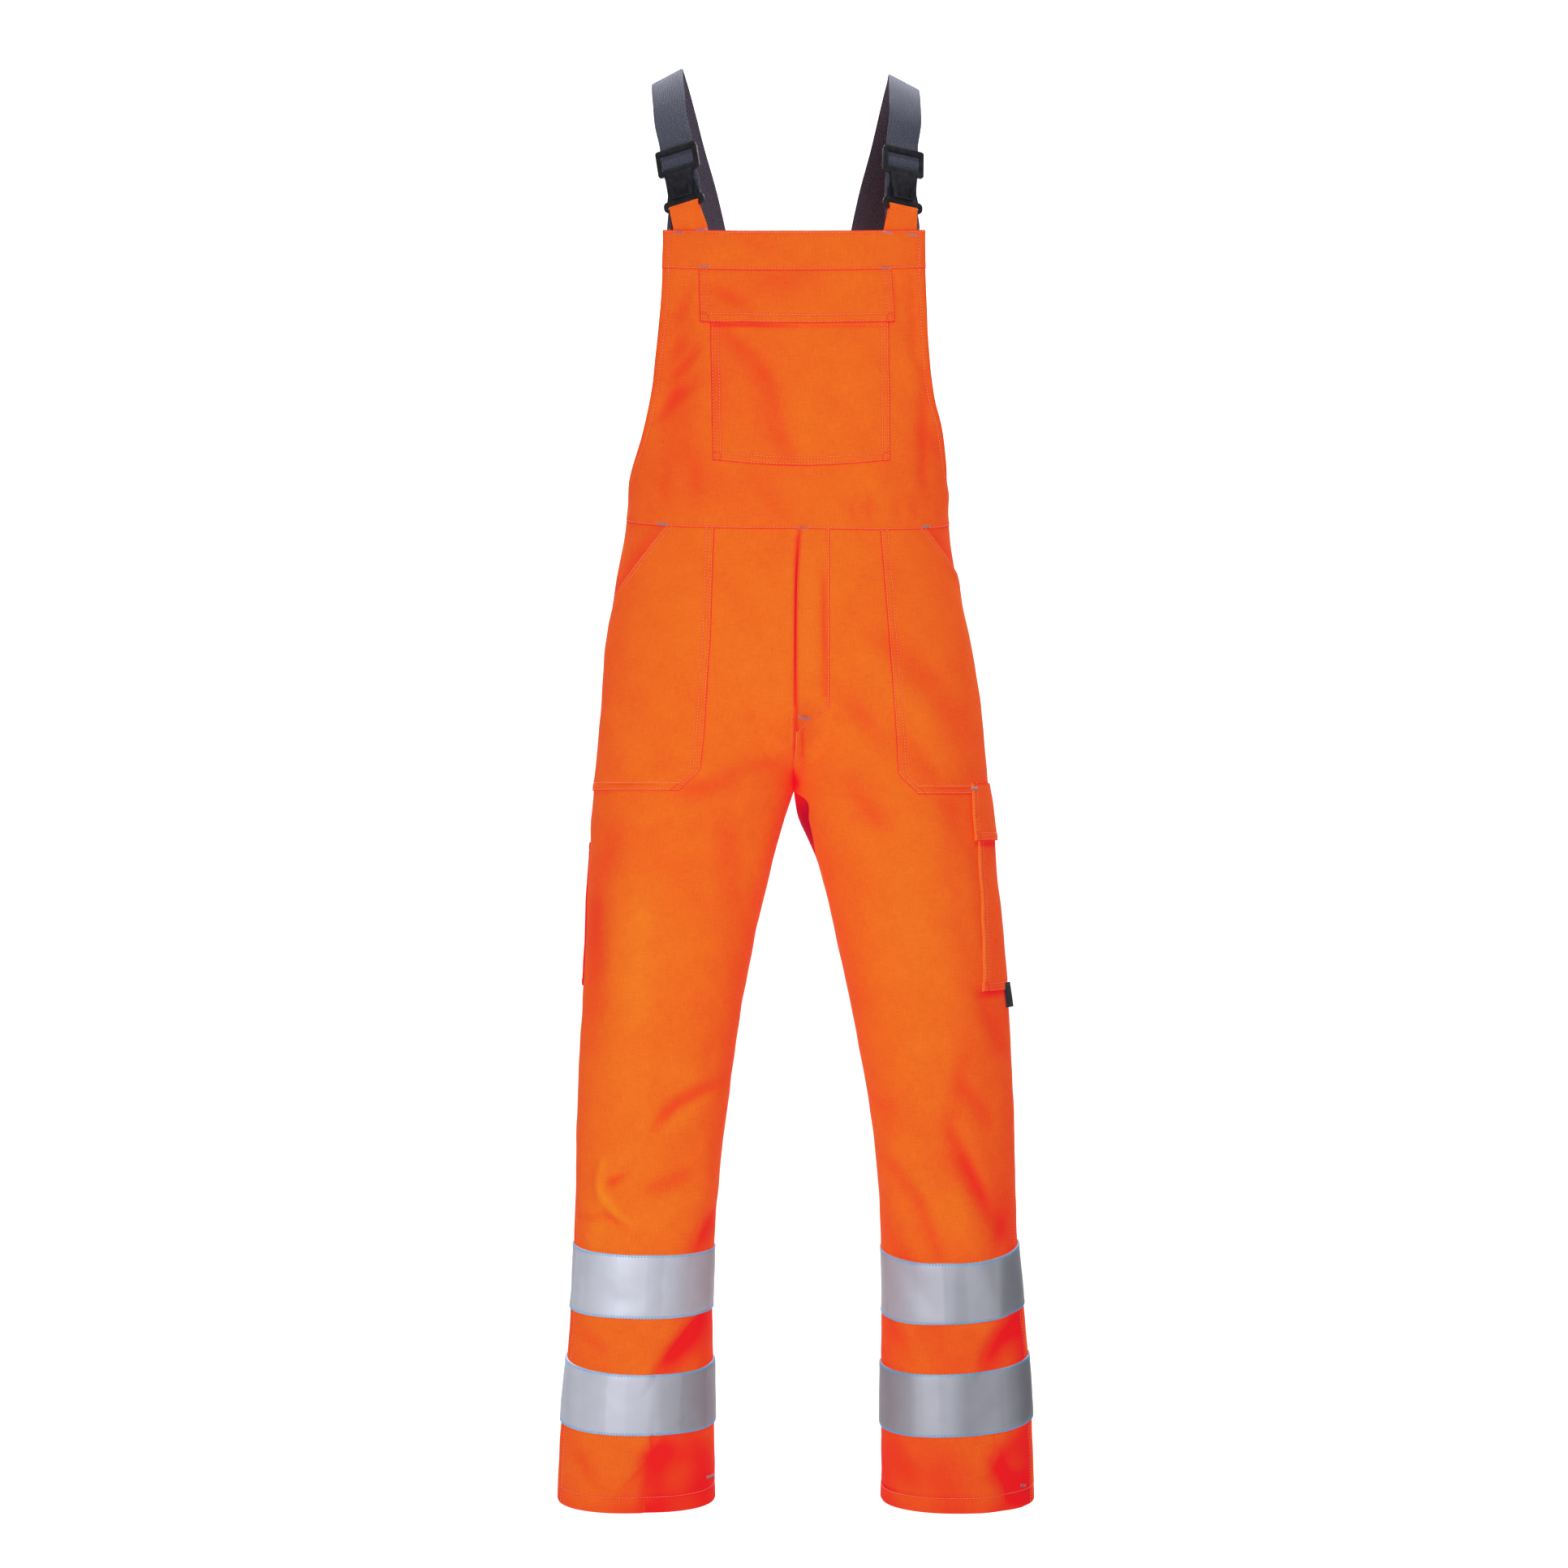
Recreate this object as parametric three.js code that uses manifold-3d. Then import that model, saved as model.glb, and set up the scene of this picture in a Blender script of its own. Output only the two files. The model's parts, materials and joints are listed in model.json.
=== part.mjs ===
// Bib overalls in high-visibility twill, in the hollow shape that they keep when they are worn.
// Millimetres, +Z up. The front faces -Y, and the wearer's left side is at +X.
// The origin is midway between the shoulder straps, at the height where their undersides rest
// on the shoulders.
import * as THREE from "three";
import { mergeVertices } from "three/addons/utils/BufferGeometryUtils.js";
import Module from "manifold-3d";

const wasm = await Module();
wasm.setup();

// ---------------------------------------------------------------- driving dimensions
const SEAM_GAP = 0.3; // between two pieces where they are sewn together
const CLOTH = 1.2; // wall of a twill panel
const PATCH = 1.1; // wall of a pocket, a flap or a tape
const DOUBLED = 2.0; // a turned and stitched band
const FULLNESS = 2.3; // exponent of the body's rounded sections: 2 is an ellipse, more is squarer

const BIB_TOP = -189; // middle of the bib's top edge
const BIB_TOP_CURVE = 18.5; // how fast that edge rises as the bib turns away to the sides
const BAND_SEAM = -230; // middle of the lower edge of the bib's top band
const BAND_SEAM_CURVE = 24;
const WAIST = -493; // waist seam at the sides
const FORK_TOP = -722; // the centre seams start to run in towards the crotch here
const CROTCH = -792;
const UPPER_TAPE = [-1294, -1364]; // top and bottom edge of each reflective tape
const LOWER_TAPE = [-1419, -1489];
const HEM = -1575;
const BACK_TOP = -244; // top edge of the back panel
const BACK_BAND_SEAM = -272; // lower edge of the back panel's top band
const ARMHOLE = -462; // the armholes' lowest point
const ARMHOLE_ROUNDING = 26; // height over which the armholes' lower ends are rounded

const WEBBING_WIDTH = 38;
const WEBBING = 1.8;

// The worn figure's trunk: how far each side, the front and the back stand from the origin's
// planes, and where the front's and the back's centre lines lie.
const TRUNK = [
  { z: -20, right: -190, left: 190, front: 96, back: 92, frontX: 4, backX: 0 },
  { z: -190, right: -202, left: 206, front: 124, back: 116, frontX: 6, backX: 0 },
  { z: -280, right: -201, left: 205, front: 124, back: 114, frontX: 8, backX: 0 },
  { z: -380, right: -190, left: 192, front: 122, back: 106, frontX: 10, backX: 0 },
  { z: -440, right: -182, left: 181, front: 120, back: 101, frontX: 11, backX: 0 },
  { z: -493, right: -180, left: 177, front: 119, back: 101, frontX: 12, backX: 0 },
  { z: -567, right: -192, left: 188, front: 121, back: 119, frontX: 9, backX: 1 },
  { z: -640, right: -202, left: 202, front: 121, back: 132, frontX: 8, backX: 3 },
  { z: -720, right: -210, left: 214, front: 117, back: 137, frontX: 7, backX: 6 },
  { z: -792, right: -218, left: 221, front: 112, back: 131, frontX: 7, backX: 7 },
];

// The legs: outer and inner side of each, front and back, and how far round towards the front
// the outer seam runs, as a share of half a turn.
const LEGS = [
  { z: -792, rightOut: -218, rightIn: 7, leftIn: 7, leftOut: 221, front: 112, back: 131, seam: 0 },
  { z: -825, rightOut: -220, rightIn: -6, leftIn: 15, leftOut: 224, front: 109, back: 126, seam: 0 },
  { z: -870, rightOut: -222, rightIn: -19, leftIn: 32, leftOut: 227, front: 105, back: 120, seam: 0 },
  { z: -950, rightOut: -226, rightIn: -38, leftIn: 52, leftOut: 233, front: 98, back: 111, seam: 0.02 },
  { z: -1040, rightOut: -231, rightIn: -55, leftIn: 71, leftOut: 241, front: 92, back: 101, seam: 0.04 },
  { z: -1130, rightOut: -235, rightIn: -68, leftIn: 88, leftOut: 246, front: 86, back: 93, seam: 0.06 },
  { z: -1220, rightOut: -236, rightIn: -78, leftIn: 99, leftOut: 249, front: 82, back: 86, seam: 0.08 },
  { z: -1310, rightOut: -238, rightIn: -83, leftIn: 103, leftOut: 255, front: 78, back: 82, seam: 0.1 },
  { z: -1400, rightOut: -244, rightIn: -84, leftIn: 103, leftOut: 264, front: 75, back: 79, seam: 0.11 },
  { z: -1490, rightOut: -252, rightIn: -83, leftIn: 103, leftOut: 270, front: 73, back: 77, seam: 0.11 },
  { z: -1580, rightOut: -257, rightIn: -81, leftIn: 102, leftOut: 272, front: 72, back: 76, seam: 0.11 },
];

// How far the cloth's cross lines drop at the middle of each front and rise at the back, and how
// far each leg's lines are tipped down at the inseam and up at the outer side.
const LINES = [
  { z: -493, right: 17, left: 17, rise: 8, rightTip: 0, leftTip: 0 },
  { z: -560, right: 4, left: 4, rise: 2, rightTip: 0, leftTip: 0 },
  { z: -640, right: 0, left: 0, rise: 0, rightTip: 0, leftTip: 0 },
  { z: -1220, right: 0, left: 2, rise: 0, rightTip: 0, leftTip: 0 },
  { z: -1294, right: 4, left: 13, rise: 0, rightTip: 2, leftTip: 3 },
  { z: -1364, right: 4, left: 10, rise: 0, rightTip: 1, leftTip: 5 },
  { z: -1419, right: 10, left: 9, rise: 0, rightTip: 2, leftTip: 5 },
  { z: -1489, right: 7, left: 8, rise: 0, rightTip: 1, leftTip: 5 },
  { z: -1575, right: 6, left: 6, rise: 0, rightTip: 0, leftTip: 0 },
];

// Side edges of the bib and of the back panel, across the front and the back. At the waist and up
// to the armholes both reach the side seam.
const BIB_EDGES = [
  { z: -462, right: -177, left: 176 },
  { z: -448, right: -176, left: 175 },
  { z: -425, right: -171, left: 174 },
  { z: -390, right: -161, left: 167 },
  { z: -350, right: -151, left: 156 },
  { z: -300, right: -145, left: 152 },
  { z: -240, right: -139, left: 150 },
  { z: -186, right: -136, left: 147.5 },
];
const BACK_EDGES = [
  { z: -462, right: -177, left: 174 },
  { z: -446, right: -172, left: 170 },
  { z: -415, right: -158, left: 157 },
  { z: -370, right: -139, left: 139 },
  { z: -310, right: -118, left: 119 },
  { z: -244, right: -100, left: 101 },
];

// The largest folds, as lines across the front or the back view. A negative depth is a trough.
const FOLDS = [
  { face: "front", x1: -66, z1: -800, x2: -60, z2: -930, width: 16, depth: -4 }, // right inner thigh
  { face: "front", x1: -118, z1: -794, x2: -30, z2: -776, width: 12, depth: -4 }, // drag from the crotch
  { face: "front", x1: 118, z1: -728, x2: 178, z2: -808, width: 13, depth: -5 }, // left hip to the side
  { face: "front", x1: 178, z1: -808, x2: 206, z2: -880, width: 13, depth: -4 },
  { face: "front", x1: 62, z1: -784, x2: 105, z2: -832, width: 14, depth: -3 },
  { face: "front", x1: -208, z1: -920, x2: -216, z2: -1080, width: 14, depth: -4 }, // right outer thigh
  { face: "front", x1: -84, z1: -1200, x2: -138, z2: -1238, width: 13, depth: -5 }, // right knee
  { face: "front", x1: -92, z1: -1225, x2: -140, z2: -1262, width: 14, depth: 3 },
  { face: "front", x1: -206, z1: -1240, x2: -220, z2: -1300, width: 14, depth: 3 }, // right shin
  { face: "front", x1: -220, z1: -1345, x2: -170, z2: -1348, width: 12, depth: -4 },
  { face: "front", x1: -94, z1: -1330, x2: -112, z2: -1372, width: 13, depth: -6 },
  { face: "front", x1: 104, z1: -1272, x2: 160, z2: -1368, width: 14, depth: -4 }, // left shin
  { face: "front", x1: 182, z1: -1240, x2: 224, z2: -1350, width: 15, depth: 4 },
  { face: "front", x1: 206, z1: -1250, x2: 242, z2: -1350, width: 17, depth: -7 },
  { face: "front", x1: -86, z1: -1440, x2: -146, z2: -1482, width: 13, depth: -5 }, // between the tapes
  { face: "front", x1: 256, z1: -1438, x2: 212, z2: -1480, width: 13, depth: -5 },
  { face: "front", x1: -96, z1: -1560, x2: -176, z2: -1585, width: 16, depth: -3 }, // at the hems
  { face: "front", x1: 250, z1: -1550, x2: 228, z2: -1590, width: 15, depth: -4 },
  { face: "front", x1: 144, z1: -345, x2: 148, z2: -470, width: 9, depth: -5 }, // bib, left side
  { face: "front", x1: -106, z1: -350, x2: -140, z2: -382, width: 15, depth: -4 }, // bib, right side
  { face: "front", x1: -66, z1: -300, x2: -4, z2: -430, width: 18, depth: -3 }, // chest pocket
  { face: "back", x1: -60, z1: -800, x2: -150, z2: -850, width: 18, depth: -5 }, // under the seat
  { face: "back", x1: 66, z1: -804, x2: 160, z2: -860, width: 18, depth: -5 },
  { face: "back", x1: -70, z1: -838, x2: -150, z2: -905, width: 18, depth: -4 },
  { face: "back", x1: 80, z1: -846, x2: 158, z2: -920, width: 18, depth: -4 },
  { face: "back", x1: -80, z1: -1120, x2: -150, z2: -1090, width: 15, depth: -4 }, // behind the knees
  { face: "back", x1: 96, z1: -1110, x2: 170, z2: -1085, width: 15, depth: -4 },
  { face: "back", x1: -225, z1: -1290, x2: -140, z2: -1240, width: 15, depth: -4 }, // calves
  { face: "back", x1: 240, z1: -1300, x2: 150, z2: -1245, width: 15, depth: -4 },
  { face: "back", x1: -40, z1: -330, x2: -100, z2: -450, width: 20, depth: -3 }, // back panel
  { face: "back", x1: 44, z1: -330, x2: 102, z2: -450, width: 20, depth: -3 },
];

// ---------------------------------------------------------------- small helpers
const clamp = (v, low = 0, high = 1) => Math.min(high, Math.max(low, v));
const mix = (a, b, t) => a + (b - a) * t;
const smooth = (v) => clamp(v) ** 2 * (3 - 2 * clamp(v));
const bulge = (v) => Math.sign(v) * Math.abs(v) ** (2 / FULLNESS);

// A column of a table, read at a height as one smooth curve through its rows.
function curve(table, column, z) {
  const last = table.length - 1;
  const down = table[0].z > table[last].z;
  const rows = down ? table : [...table].reverse();
  if (z >= rows[0].z) return rows[0][column];
  if (z <= rows[last].z) return rows[last][column];
  const i = rows.findIndex((row, k) => k < last && z <= row.z && z >= rows[k + 1].z);
  const slope = (k) => {
    const a = rows[Math.max(k - 1, 0)];
    const b = rows[Math.min(k + 1, last)];
    return (b[column] - a[column]) / (b.z - a.z);
  };
  const step = rows[i + 1].z - rows[i].z;
  const t = (z - rows[i].z) / step;
  const [t2, t3] = [t * t, t * t * t];
  return (
    rows[i][column] * (2 * t3 - 3 * t2 + 1) +
    rows[i + 1][column] * (3 * t2 - 2 * t3) +
    step * (slope(i) * (t3 - 2 * t2 + t) + slope(i + 1) * (t3 - t2))
  );
}

// How far the folds move the cloth out at a point of the front or the back view.
function foldDepth(face, x, z) {
  let moved = 0;
  for (const fold of FOLDS) {
    if (fold.face !== face) continue;
    const [dx, dz] = [fold.x2 - fold.x1, fold.z2 - fold.z1];
    const along = clamp(((x - fold.x1) * dx + (z - fold.z1) * dz) / (dx * dx + dz * dz));
    const away = Math.hypot(x - fold.x1 - along * dx, z - fold.z1 - along * dz);
    const taper = 1 - 0.5 * (2 * along - 1) ** 2;
    moved += fold.depth * taper * Math.exp(-((away / fold.width) ** 2));
  }
  return moved;
}

// ---------------------------------------------------------------- the cloth's surface
// A point of the trunk. The turn runs from 0 at the centre front past a quarter at the side to
// a half at the centre back.
function trunkAt(side, turn, z) {
  const angle = turn * Math.PI;
  const front = Math.cos(angle) >= 0;
  const centre = curve(TRUNK, front ? "frontX" : "backX", z);
  const reach = curve(TRUNK, side, z) - centre;
  const depth = front ? curve(TRUNK, "front", z) : curve(TRUNK, "back", z);
  return [centre + reach * bulge(Math.sin(angle)), -depth * bulge(Math.cos(angle))];
}

// A point of a leg. Its turn is 0 at the inseam, a half at the outer side and 1 at the inseam again.
function legAt(side, turn, z) {
  const angle = 2 * Math.PI * turn;
  const inner = curve(LEGS, side + "In", z);
  const outer = z > CROTCH ? curve(TRUNK, side, z) : curve(LEGS, side + "Out", z);
  const table = z > CROTCH ? TRUNK : LEGS;
  const [front, back] = [curve(table, "front", z), curve(table, "back", z)];
  const axis = (back - front) / 2;
  const reach = Math.sin(angle) >= 0 ? front + axis : back - axis;
  return [
    (inner + outer) / 2 + ((inner - outer) / 2) * bulge(Math.cos(angle)),
    axis - reach * bulge(Math.sin(angle)),
  ];
}

// How far the trunk has given way to the two legs, at the inner edge and away from it.
function forkShare(round, z) {
  const edge = Math.abs(round - 1) < 1 ? 1 - Math.abs(round - 1) : 0;
  const inner = 1 - Math.sqrt(1 - clamp((FORK_TOP - z) / (FORK_TOP - CROTCH)) ** 2);
  const outer = smooth((FORK_TOP + 70 - z) / (FORK_TOP + 70 - CROTCH));
  return mix(inner, outer, smooth(edge / 0.5));
}

// A point of the trousers on one side. Round runs from 0 at the centre front or inseam, past 1
// at the outer side, to 2 at the centre back or inseam.
function trousersAt(side, round, level) {
  const half = round <= 1 ? round : 2 - round;
  const turn = round <= 1 ? half ** 1.5 / 2 : 1 - half ** 1.5 / 2;
  const share = level <= CROTCH ? 1 : forkShare(round, level);
  const section = (r) => {
    const [h, s] = [r <= 1 ? r : 2 - r, r <= 1 ? 1 : -1];
    const trunk = trunkAt(side, (s > 0 ? h ** 1.5 : 2 - h ** 1.5) / 2, Math.max(level, CROTCH));
    const leg = legAt(side, r / 2, level);
    return [mix(trunk[0], leg[0], share), mix(trunk[1], leg[1], share)];
  };
  const here = section(round);
  const [a, b] = [section(clamp(round - 0.02, 0, 2)), section(clamp(round + 0.02, 0, 2))];
  const long = Math.hypot(b[0] - a[0], b[1] - a[1]);
  const hand = side === "right" ? -1 : 1;
  const out = [(hand * (b[1] - a[1])) / long, (-hand * (b[0] - a[0])) / long];
  const lineShape = mix(Math.abs(Math.cos(turn * Math.PI)), Math.sin(half * Math.PI), share);
  const shift = round <= 1 ? -curve(LINES, side, level) : curve(LINES, "rise", level);
  const tip = curve(LINES, side + "Tip", level) * Math.cos(half * Math.PI) * share;
  const z = level + shift * lineShape - tip;
  const face = out[1] < 0 ? "front" : "back";
  const moved = foldDepth(face, here[0], z) * Math.sqrt(Math.abs(out[1]));
  return new THREE.Vector3(here[0] + out[0] * moved, here[1] + out[1] * moved, z);
}

// A point of the trunk above the waist seam, on the front or the back.
function torsoAt(side, turn, z) {
  const here = trunkAt(side, turn, z);
  const [a, b] = [trunkAt(side, turn - 0.01, z), trunkAt(side, turn + 0.01, z)];
  const long = Math.hypot(b[0] - a[0], b[1] - a[1]);
  const hand = side === "right" ? -1 : 1;
  const out = [(hand * (b[1] - a[1])) / long, (-hand * (b[0] - a[0])) / long];
  const face = out[1] < 0 ? "front" : "back";
  const moved = foldDepth(face, here[0], z) * Math.sqrt(Math.abs(out[1]));
  return new THREE.Vector3(here[0] + out[0] * moved, here[1] + out[1] * moved, z);
}

// ---------------------------------------------------------------- grids of points and normals
const sub = (a, b) => a.clone().sub(b);
const unitCross = (a, b) => a.clone().cross(b).normalize();

// Rows of the trousers, closer together where the cloth turns quickly.
function trouserLevels() {
  const levels = [];
  const stretch = (from, to, steps, ease = (t) => t) => {
    for (let i = 0; i < steps; i++) levels.push(mix(from, to, ease(i / steps)));
  };
  stretch(WAIST, FORK_TOP, 8);
  stretch(FORK_TOP, CROTCH, 6, (t) => Math.sin((t * Math.PI) / 2));
  stretch(CROTCH, -840, 3, (t) => t ** 1.6);
  stretch(-840, -1180, 9);
  stretch(-1180, UPPER_TAPE[0], 4);
  stretch(UPPER_TAPE[0], UPPER_TAPE[1], 2);
  stretch(UPPER_TAPE[1], LOWER_TAPE[0], 2);
  stretch(LOWER_TAPE[0], LOWER_TAPE[1], 2);
  stretch(LOWER_TAPE[1], HEM, 3);
  return [...levels, HEM];
}

const LEVELS = trouserLevels();
const FRONT_COLUMNS = 11;
const BACK_COLUMNS = 9;

// The whole loop of one side of the trousers: points and outward normals, a row for each level.
function trouserGrid(side) {
  const hand = side === "right" ? -1 : 1;
  const rows = LEVELS.map((level, r) => {
    const seam = 1 - curve(LEGS, "seam", level);
    const rounds = [];
    for (let i = 0; i < FRONT_COLUMNS; i++) rounds.push((seam * i) / FRONT_COLUMNS);
    for (let i = 0; i <= BACK_COLUMNS; i++) rounds.push(mix(seam, 2, i / BACK_COLUMNS));
    return rounds.map((round) => trousersAt(side, round, r ? level : level - SEAM_GAP / 2));
  });
  const last = rows[0].length - 1;
  const mirrored = (p, centre) => new THREE.Vector3(2 * centre.x - p.x, p.y, p.z);
  return rows.map((row, r) =>
    row.map((point, c) => {
      const joined = LEVELS[r] > CROTCH - 0.01;
      if (joined && LEVELS[r] < CROTCH + 0.01 && (c === 0 || c === last))
        return { point, normal: new THREE.Vector3(0, 0, -1) };
      const before = c ? row[c - 1] : joined ? mirrored(row[1], row[0]) : row[last - 1];
      const after = c < last ? row[c + 1] : joined ? mirrored(row[last - 1], row[last]) : row[1];
      const up = rows[Math.max(r - 1, 0)][c];
      const down = rows[Math.min(r + 1, rows.length - 1)][c];
      return { point, normal: unitCross(sub(after, before), sub(up, down)).multiplyScalar(hand) };
    }),
  );
}

// Moves a grid's edge column along the cloth, to leave half of a seam's gap.
function trimmed(grid, column, neighbour, amount = SEAM_GAP / 2) {
  return grid.map((row) => {
    const copy = [...row];
    const along = sub(row[neighbour].point, row[column].point).normalize();
    copy[column] = {
      point: row[column].point.clone().addScaledVector(along, amount),
      normal: row[column].normal,
    };
    return copy;
  });
}

// A panel's grid on the trunk above the waist, between its two side edges.
function torsoGrid(face, edges, bottomOf, topOf, rowShares, columns) {
  const turnOf = (side, x, z) => {
    const centre = curve(TRUNK, face === "front" ? "frontX" : "backX", z);
    const share = clamp(Math.abs((x - centre) / (curve(TRUNK, side, z) - centre)));
    const turn = Math.asin(share ** (FULLNESS / 2)) / Math.PI;
    const up = clamp((z - ARMHOLE) / ARMHOLE_ROUNDING);
    return mix(0.5, turn, Math.sqrt(1 - (1 - up) ** 2));
  };
  const trim = SEAM_GAP / 2 / 200; // of half a turn round, at the side seam
  const grid = [];
  for (const up of rowShares) {
    const row = [];
    for (let c = 0; c <= columns; c++) {
      const across = (2 * c) / columns - 1;
      const side = across < 0 ? "right" : "left";
      const level = mix(bottomOf(0), topOf(0), up);
      const reach = turnOf(side, curve(edges, side, level), level);
      const turnFront = Math.abs(across) * Math.min(reach, 0.5 - trim);
      const facing = Math.cos(turnFront * Math.PI);
      const z = mix(bottomOf(facing), topOf(facing), up);
      const turn = face === "front" ? turnFront : 1 - turnFront;
      const point = torsoAt(side, turn, z);
      const hand = side === "right" ? -1 : 1;
      const step = 0.006;
      const round = sub(torsoAt(side, turn + step, z), torsoAt(side, turn - step, z));
      const rise = sub(torsoAt(side, turn, z + 3), torsoAt(side, turn, z - 3));
      row.push({ point, normal: unitCross(round, rise).multiplyScalar(hand) });
    }
    grid.push(row);
  }
  return grid;
}

// ---------------------------------------------------------------- solids
function signedVolume(positions, index) {
  let volume = 0;
  const [a, b, c] = [new THREE.Vector3(), new THREE.Vector3(), new THREE.Vector3()];
  for (let i = 0; i < index.length; i += 3) {
    a.fromArray(positions, index[i] * 3);
    b.fromArray(positions, index[i + 1] * 3);
    c.fromArray(positions, index[i + 2] * 3);
    volume += a.dot(b.cross(c));
  }
  return volume;
}

function geometryFrom(positions, index) {
  if (signedVolume(positions, index) < 0)
    for (let i = 0; i < index.length; i += 3) [index[i], index[i + 1]] = [index[i + 1], index[i]];
  const geometry = new THREE.BufferGeometry();
  geometry.setAttribute("position", new THREE.Float32BufferAttribute(positions, 3));
  geometry.setIndex(index);
  return geometry;
}

// A closed wall between two distances out from a grid. A ring's last column meets its first.
function wall(grid, inner, outer, ring = false) {
  const [rows, columns] = [grid.length, grid[0].length];
  const layer = rows * columns;
  const positions = [];
  for (const offset of [outer, inner])
    grid.forEach((row, r) =>
      row.forEach(({ point, normal }, c) => {
        const distance = typeof offset === "function" ? offset(r, c) : offset;
        positions.push(...point.clone().addScaledVector(normal, distance).toArray());
      }),
    );
  const index = [];
  const quad = (a, b, c, d) => index.push(a, b, c, a, c, d);
  const at = (r, c) => r * columns + (c % columns);
  const spans = ring ? columns : columns - 1;
  for (let r = 0; r < rows - 1; r++)
    for (let c = 0; c < spans; c++) {
      const [a, b, d, e] = [at(r, c), at(r, c + 1), at(r + 1, c + 1), at(r + 1, c)];
      quad(a, b, d, e);
      quad(layer + a, layer + e, layer + d, layer + b);
    }
  for (let c = 0; c < spans; c++) {
    const [a, b] = [at(0, c), at(0, c + 1)];
    const [d, e] = [at(rows - 1, c), at(rows - 1, c + 1)];
    quad(b, a, layer + a, layer + b);
    quad(d, e, layer + e, layer + d);
  }
  if (!ring)
    for (let r = 0; r < rows - 1; r++) {
      const [a, b] = [at(r, 0), at(r + 1, 0)];
      const [d, e] = [at(r, columns - 1), at(r + 1, columns - 1)];
      quad(a, b, layer + b, layer + a);
      quad(e, d, layer + d, layer + e);
    }
  return geometryFrom(positions, index);
}

function manifoldOf(geometry) {
  const bare = new THREE.BufferGeometry();
  bare.setAttribute("position", geometry.getAttribute("position"));
  if (geometry.index) bare.setIndex(geometry.index);
  const merged = mergeVertices(bare, 1e-4);
  return new wasm.Manifold(
    new wasm.Mesh({
      numProp: 3,
      vertProperties: new Float32Array(merged.attributes.position.array),
      triVerts: new Uint32Array(merged.index.array),
    }),
  );
}

function geometryOf(solid) {
  const made = solid.getMesh();
  const geometry = new THREE.BufferGeometry();
  geometry.setAttribute("position", new THREE.BufferAttribute(made.vertProperties, 3));
  geometry.setIndex(new THREE.BufferAttribute(made.triVerts, 1));
  return geometry;
}

// A prism with an outline of [across, height] points, along Y or along X.
function prism(outline, axis, from, to) {
  const shape = new THREE.Shape(outline.map(([a, z]) => new THREE.Vector2(a, z)));
  const geometry = new THREE.ExtrudeGeometry(shape, { depth: to - from, bevelEnabled: false });
  if (axis === "y") geometry.rotateX(Math.PI / 2).translate(0, to, 0);
  else geometry.rotateX(Math.PI / 2).rotateZ(Math.PI / 2).translate(from, 0, 0);
  return geometry;
}

const cutOut = (geometry, cutter) =>
  geometryOf(manifoldOf(geometry).intersect(manifoldOf(cutter)));

// ---------------------------------------------------------------- the pieces
const overalls = new THREE.Group();
const TWILL = { color: 0xf26a1f, roughness: 0.85, metalness: 0 };
const SILVER = { color: 0xb4b6bf, roughness: 0.45, metalness: 0.1 };
const GREY_WEBBING = { color: 0x62646f, roughness: 0.9, metalness: 0 };
const BLACK_PLASTIC = { color: 0x17181b, roughness: 0.4, metalness: 0 };
const DARK_LABEL = { color: 0x35373c, roughness: 0.8, metalness: 0 };

function add(name, geometry, finish, parent = overalls) {
  const mesh = new THREE.Mesh(geometry, new THREE.MeshStandardMaterial(finish));
  mesh.name = name;
  parent.add(mesh);
  return mesh;
}

const rowsBetween = (grid, top, bottom) =>
  grid.filter((_, r) => LEVELS[r] <= top + 0.01 && LEVELS[r] >= bottom - 0.01);

// The trousers: a front and a back panel for each leg, from the waist seam to the hem.
const trousers = { right: trouserGrid("right"), left: trouserGrid("left") };
const panels = {};
for (const side of ["right", "left"]) {
  const grid = trousers[side];
  const last = grid[0].length - 1;
  const front = grid.map((row) => row.slice(0, FRONT_COLUMNS + 1));
  const back = grid.map((row) => row.slice(FRONT_COLUMNS));
  panels[side] = trimmed(trimmed(front, 0, 1), FRONT_COLUMNS, FRONT_COLUMNS - 1);
  const inner = last - FRONT_COLUMNS;
  const backPanel = trimmed(trimmed(back, 0, 1), inner, inner - 1);
  add("front_leg_" + side, wall(panels[side], -CLOTH, 0), TWILL);
  add("back_leg_" + side, wall(backPanel, -CLOTH, 0), TWILL);
}

// The tapes: rings round each leg, over both panels.
for (const side of ["right", "left"])
  for (const [place, [top, bottom]] of Object.entries({ upper: UPPER_TAPE, lower: LOWER_TAPE })) {
    const rings = rowsBetween(trousers[side], top, bottom).map((row) => row.slice(0, -1));
    add(`tape_${place}_${side}`, wall(rings, SEAM_GAP, SEAM_GAP + PATCH, true), SILVER);
  }

// The bib and its top band.
const waistFront = (share) => WAIST - curve(LINES, "right", WAIST) * share + SEAM_GAP / 2;
const bandSeam = (share) => BAND_SEAM + BAND_SEAM_CURVE * (1 - share);
const bibTop = (share) => BIB_TOP + BIB_TOP_CURVE * (1 - share);
const BIB_ROWS = [0, 0.108, 0.113, 0.128, 0.16, 0.2, 0.26, 0.34, 0.43, 0.53, 0.64, 0.76, 0.88, 1];
const bib = torsoGrid("front", BIB_EDGES, waistFront, (s) => bandSeam(s) - SEAM_GAP, BIB_ROWS, 18);
const band = torsoGrid("front", BIB_EDGES, bandSeam, bibTop, [0, 0.5, 1], 18);
add("bib_front", wall(bib, -CLOTH, 0), TWILL);
add("bib_band", wall(band, -CLOTH, DOUBLED - CLOTH), TWILL);

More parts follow.
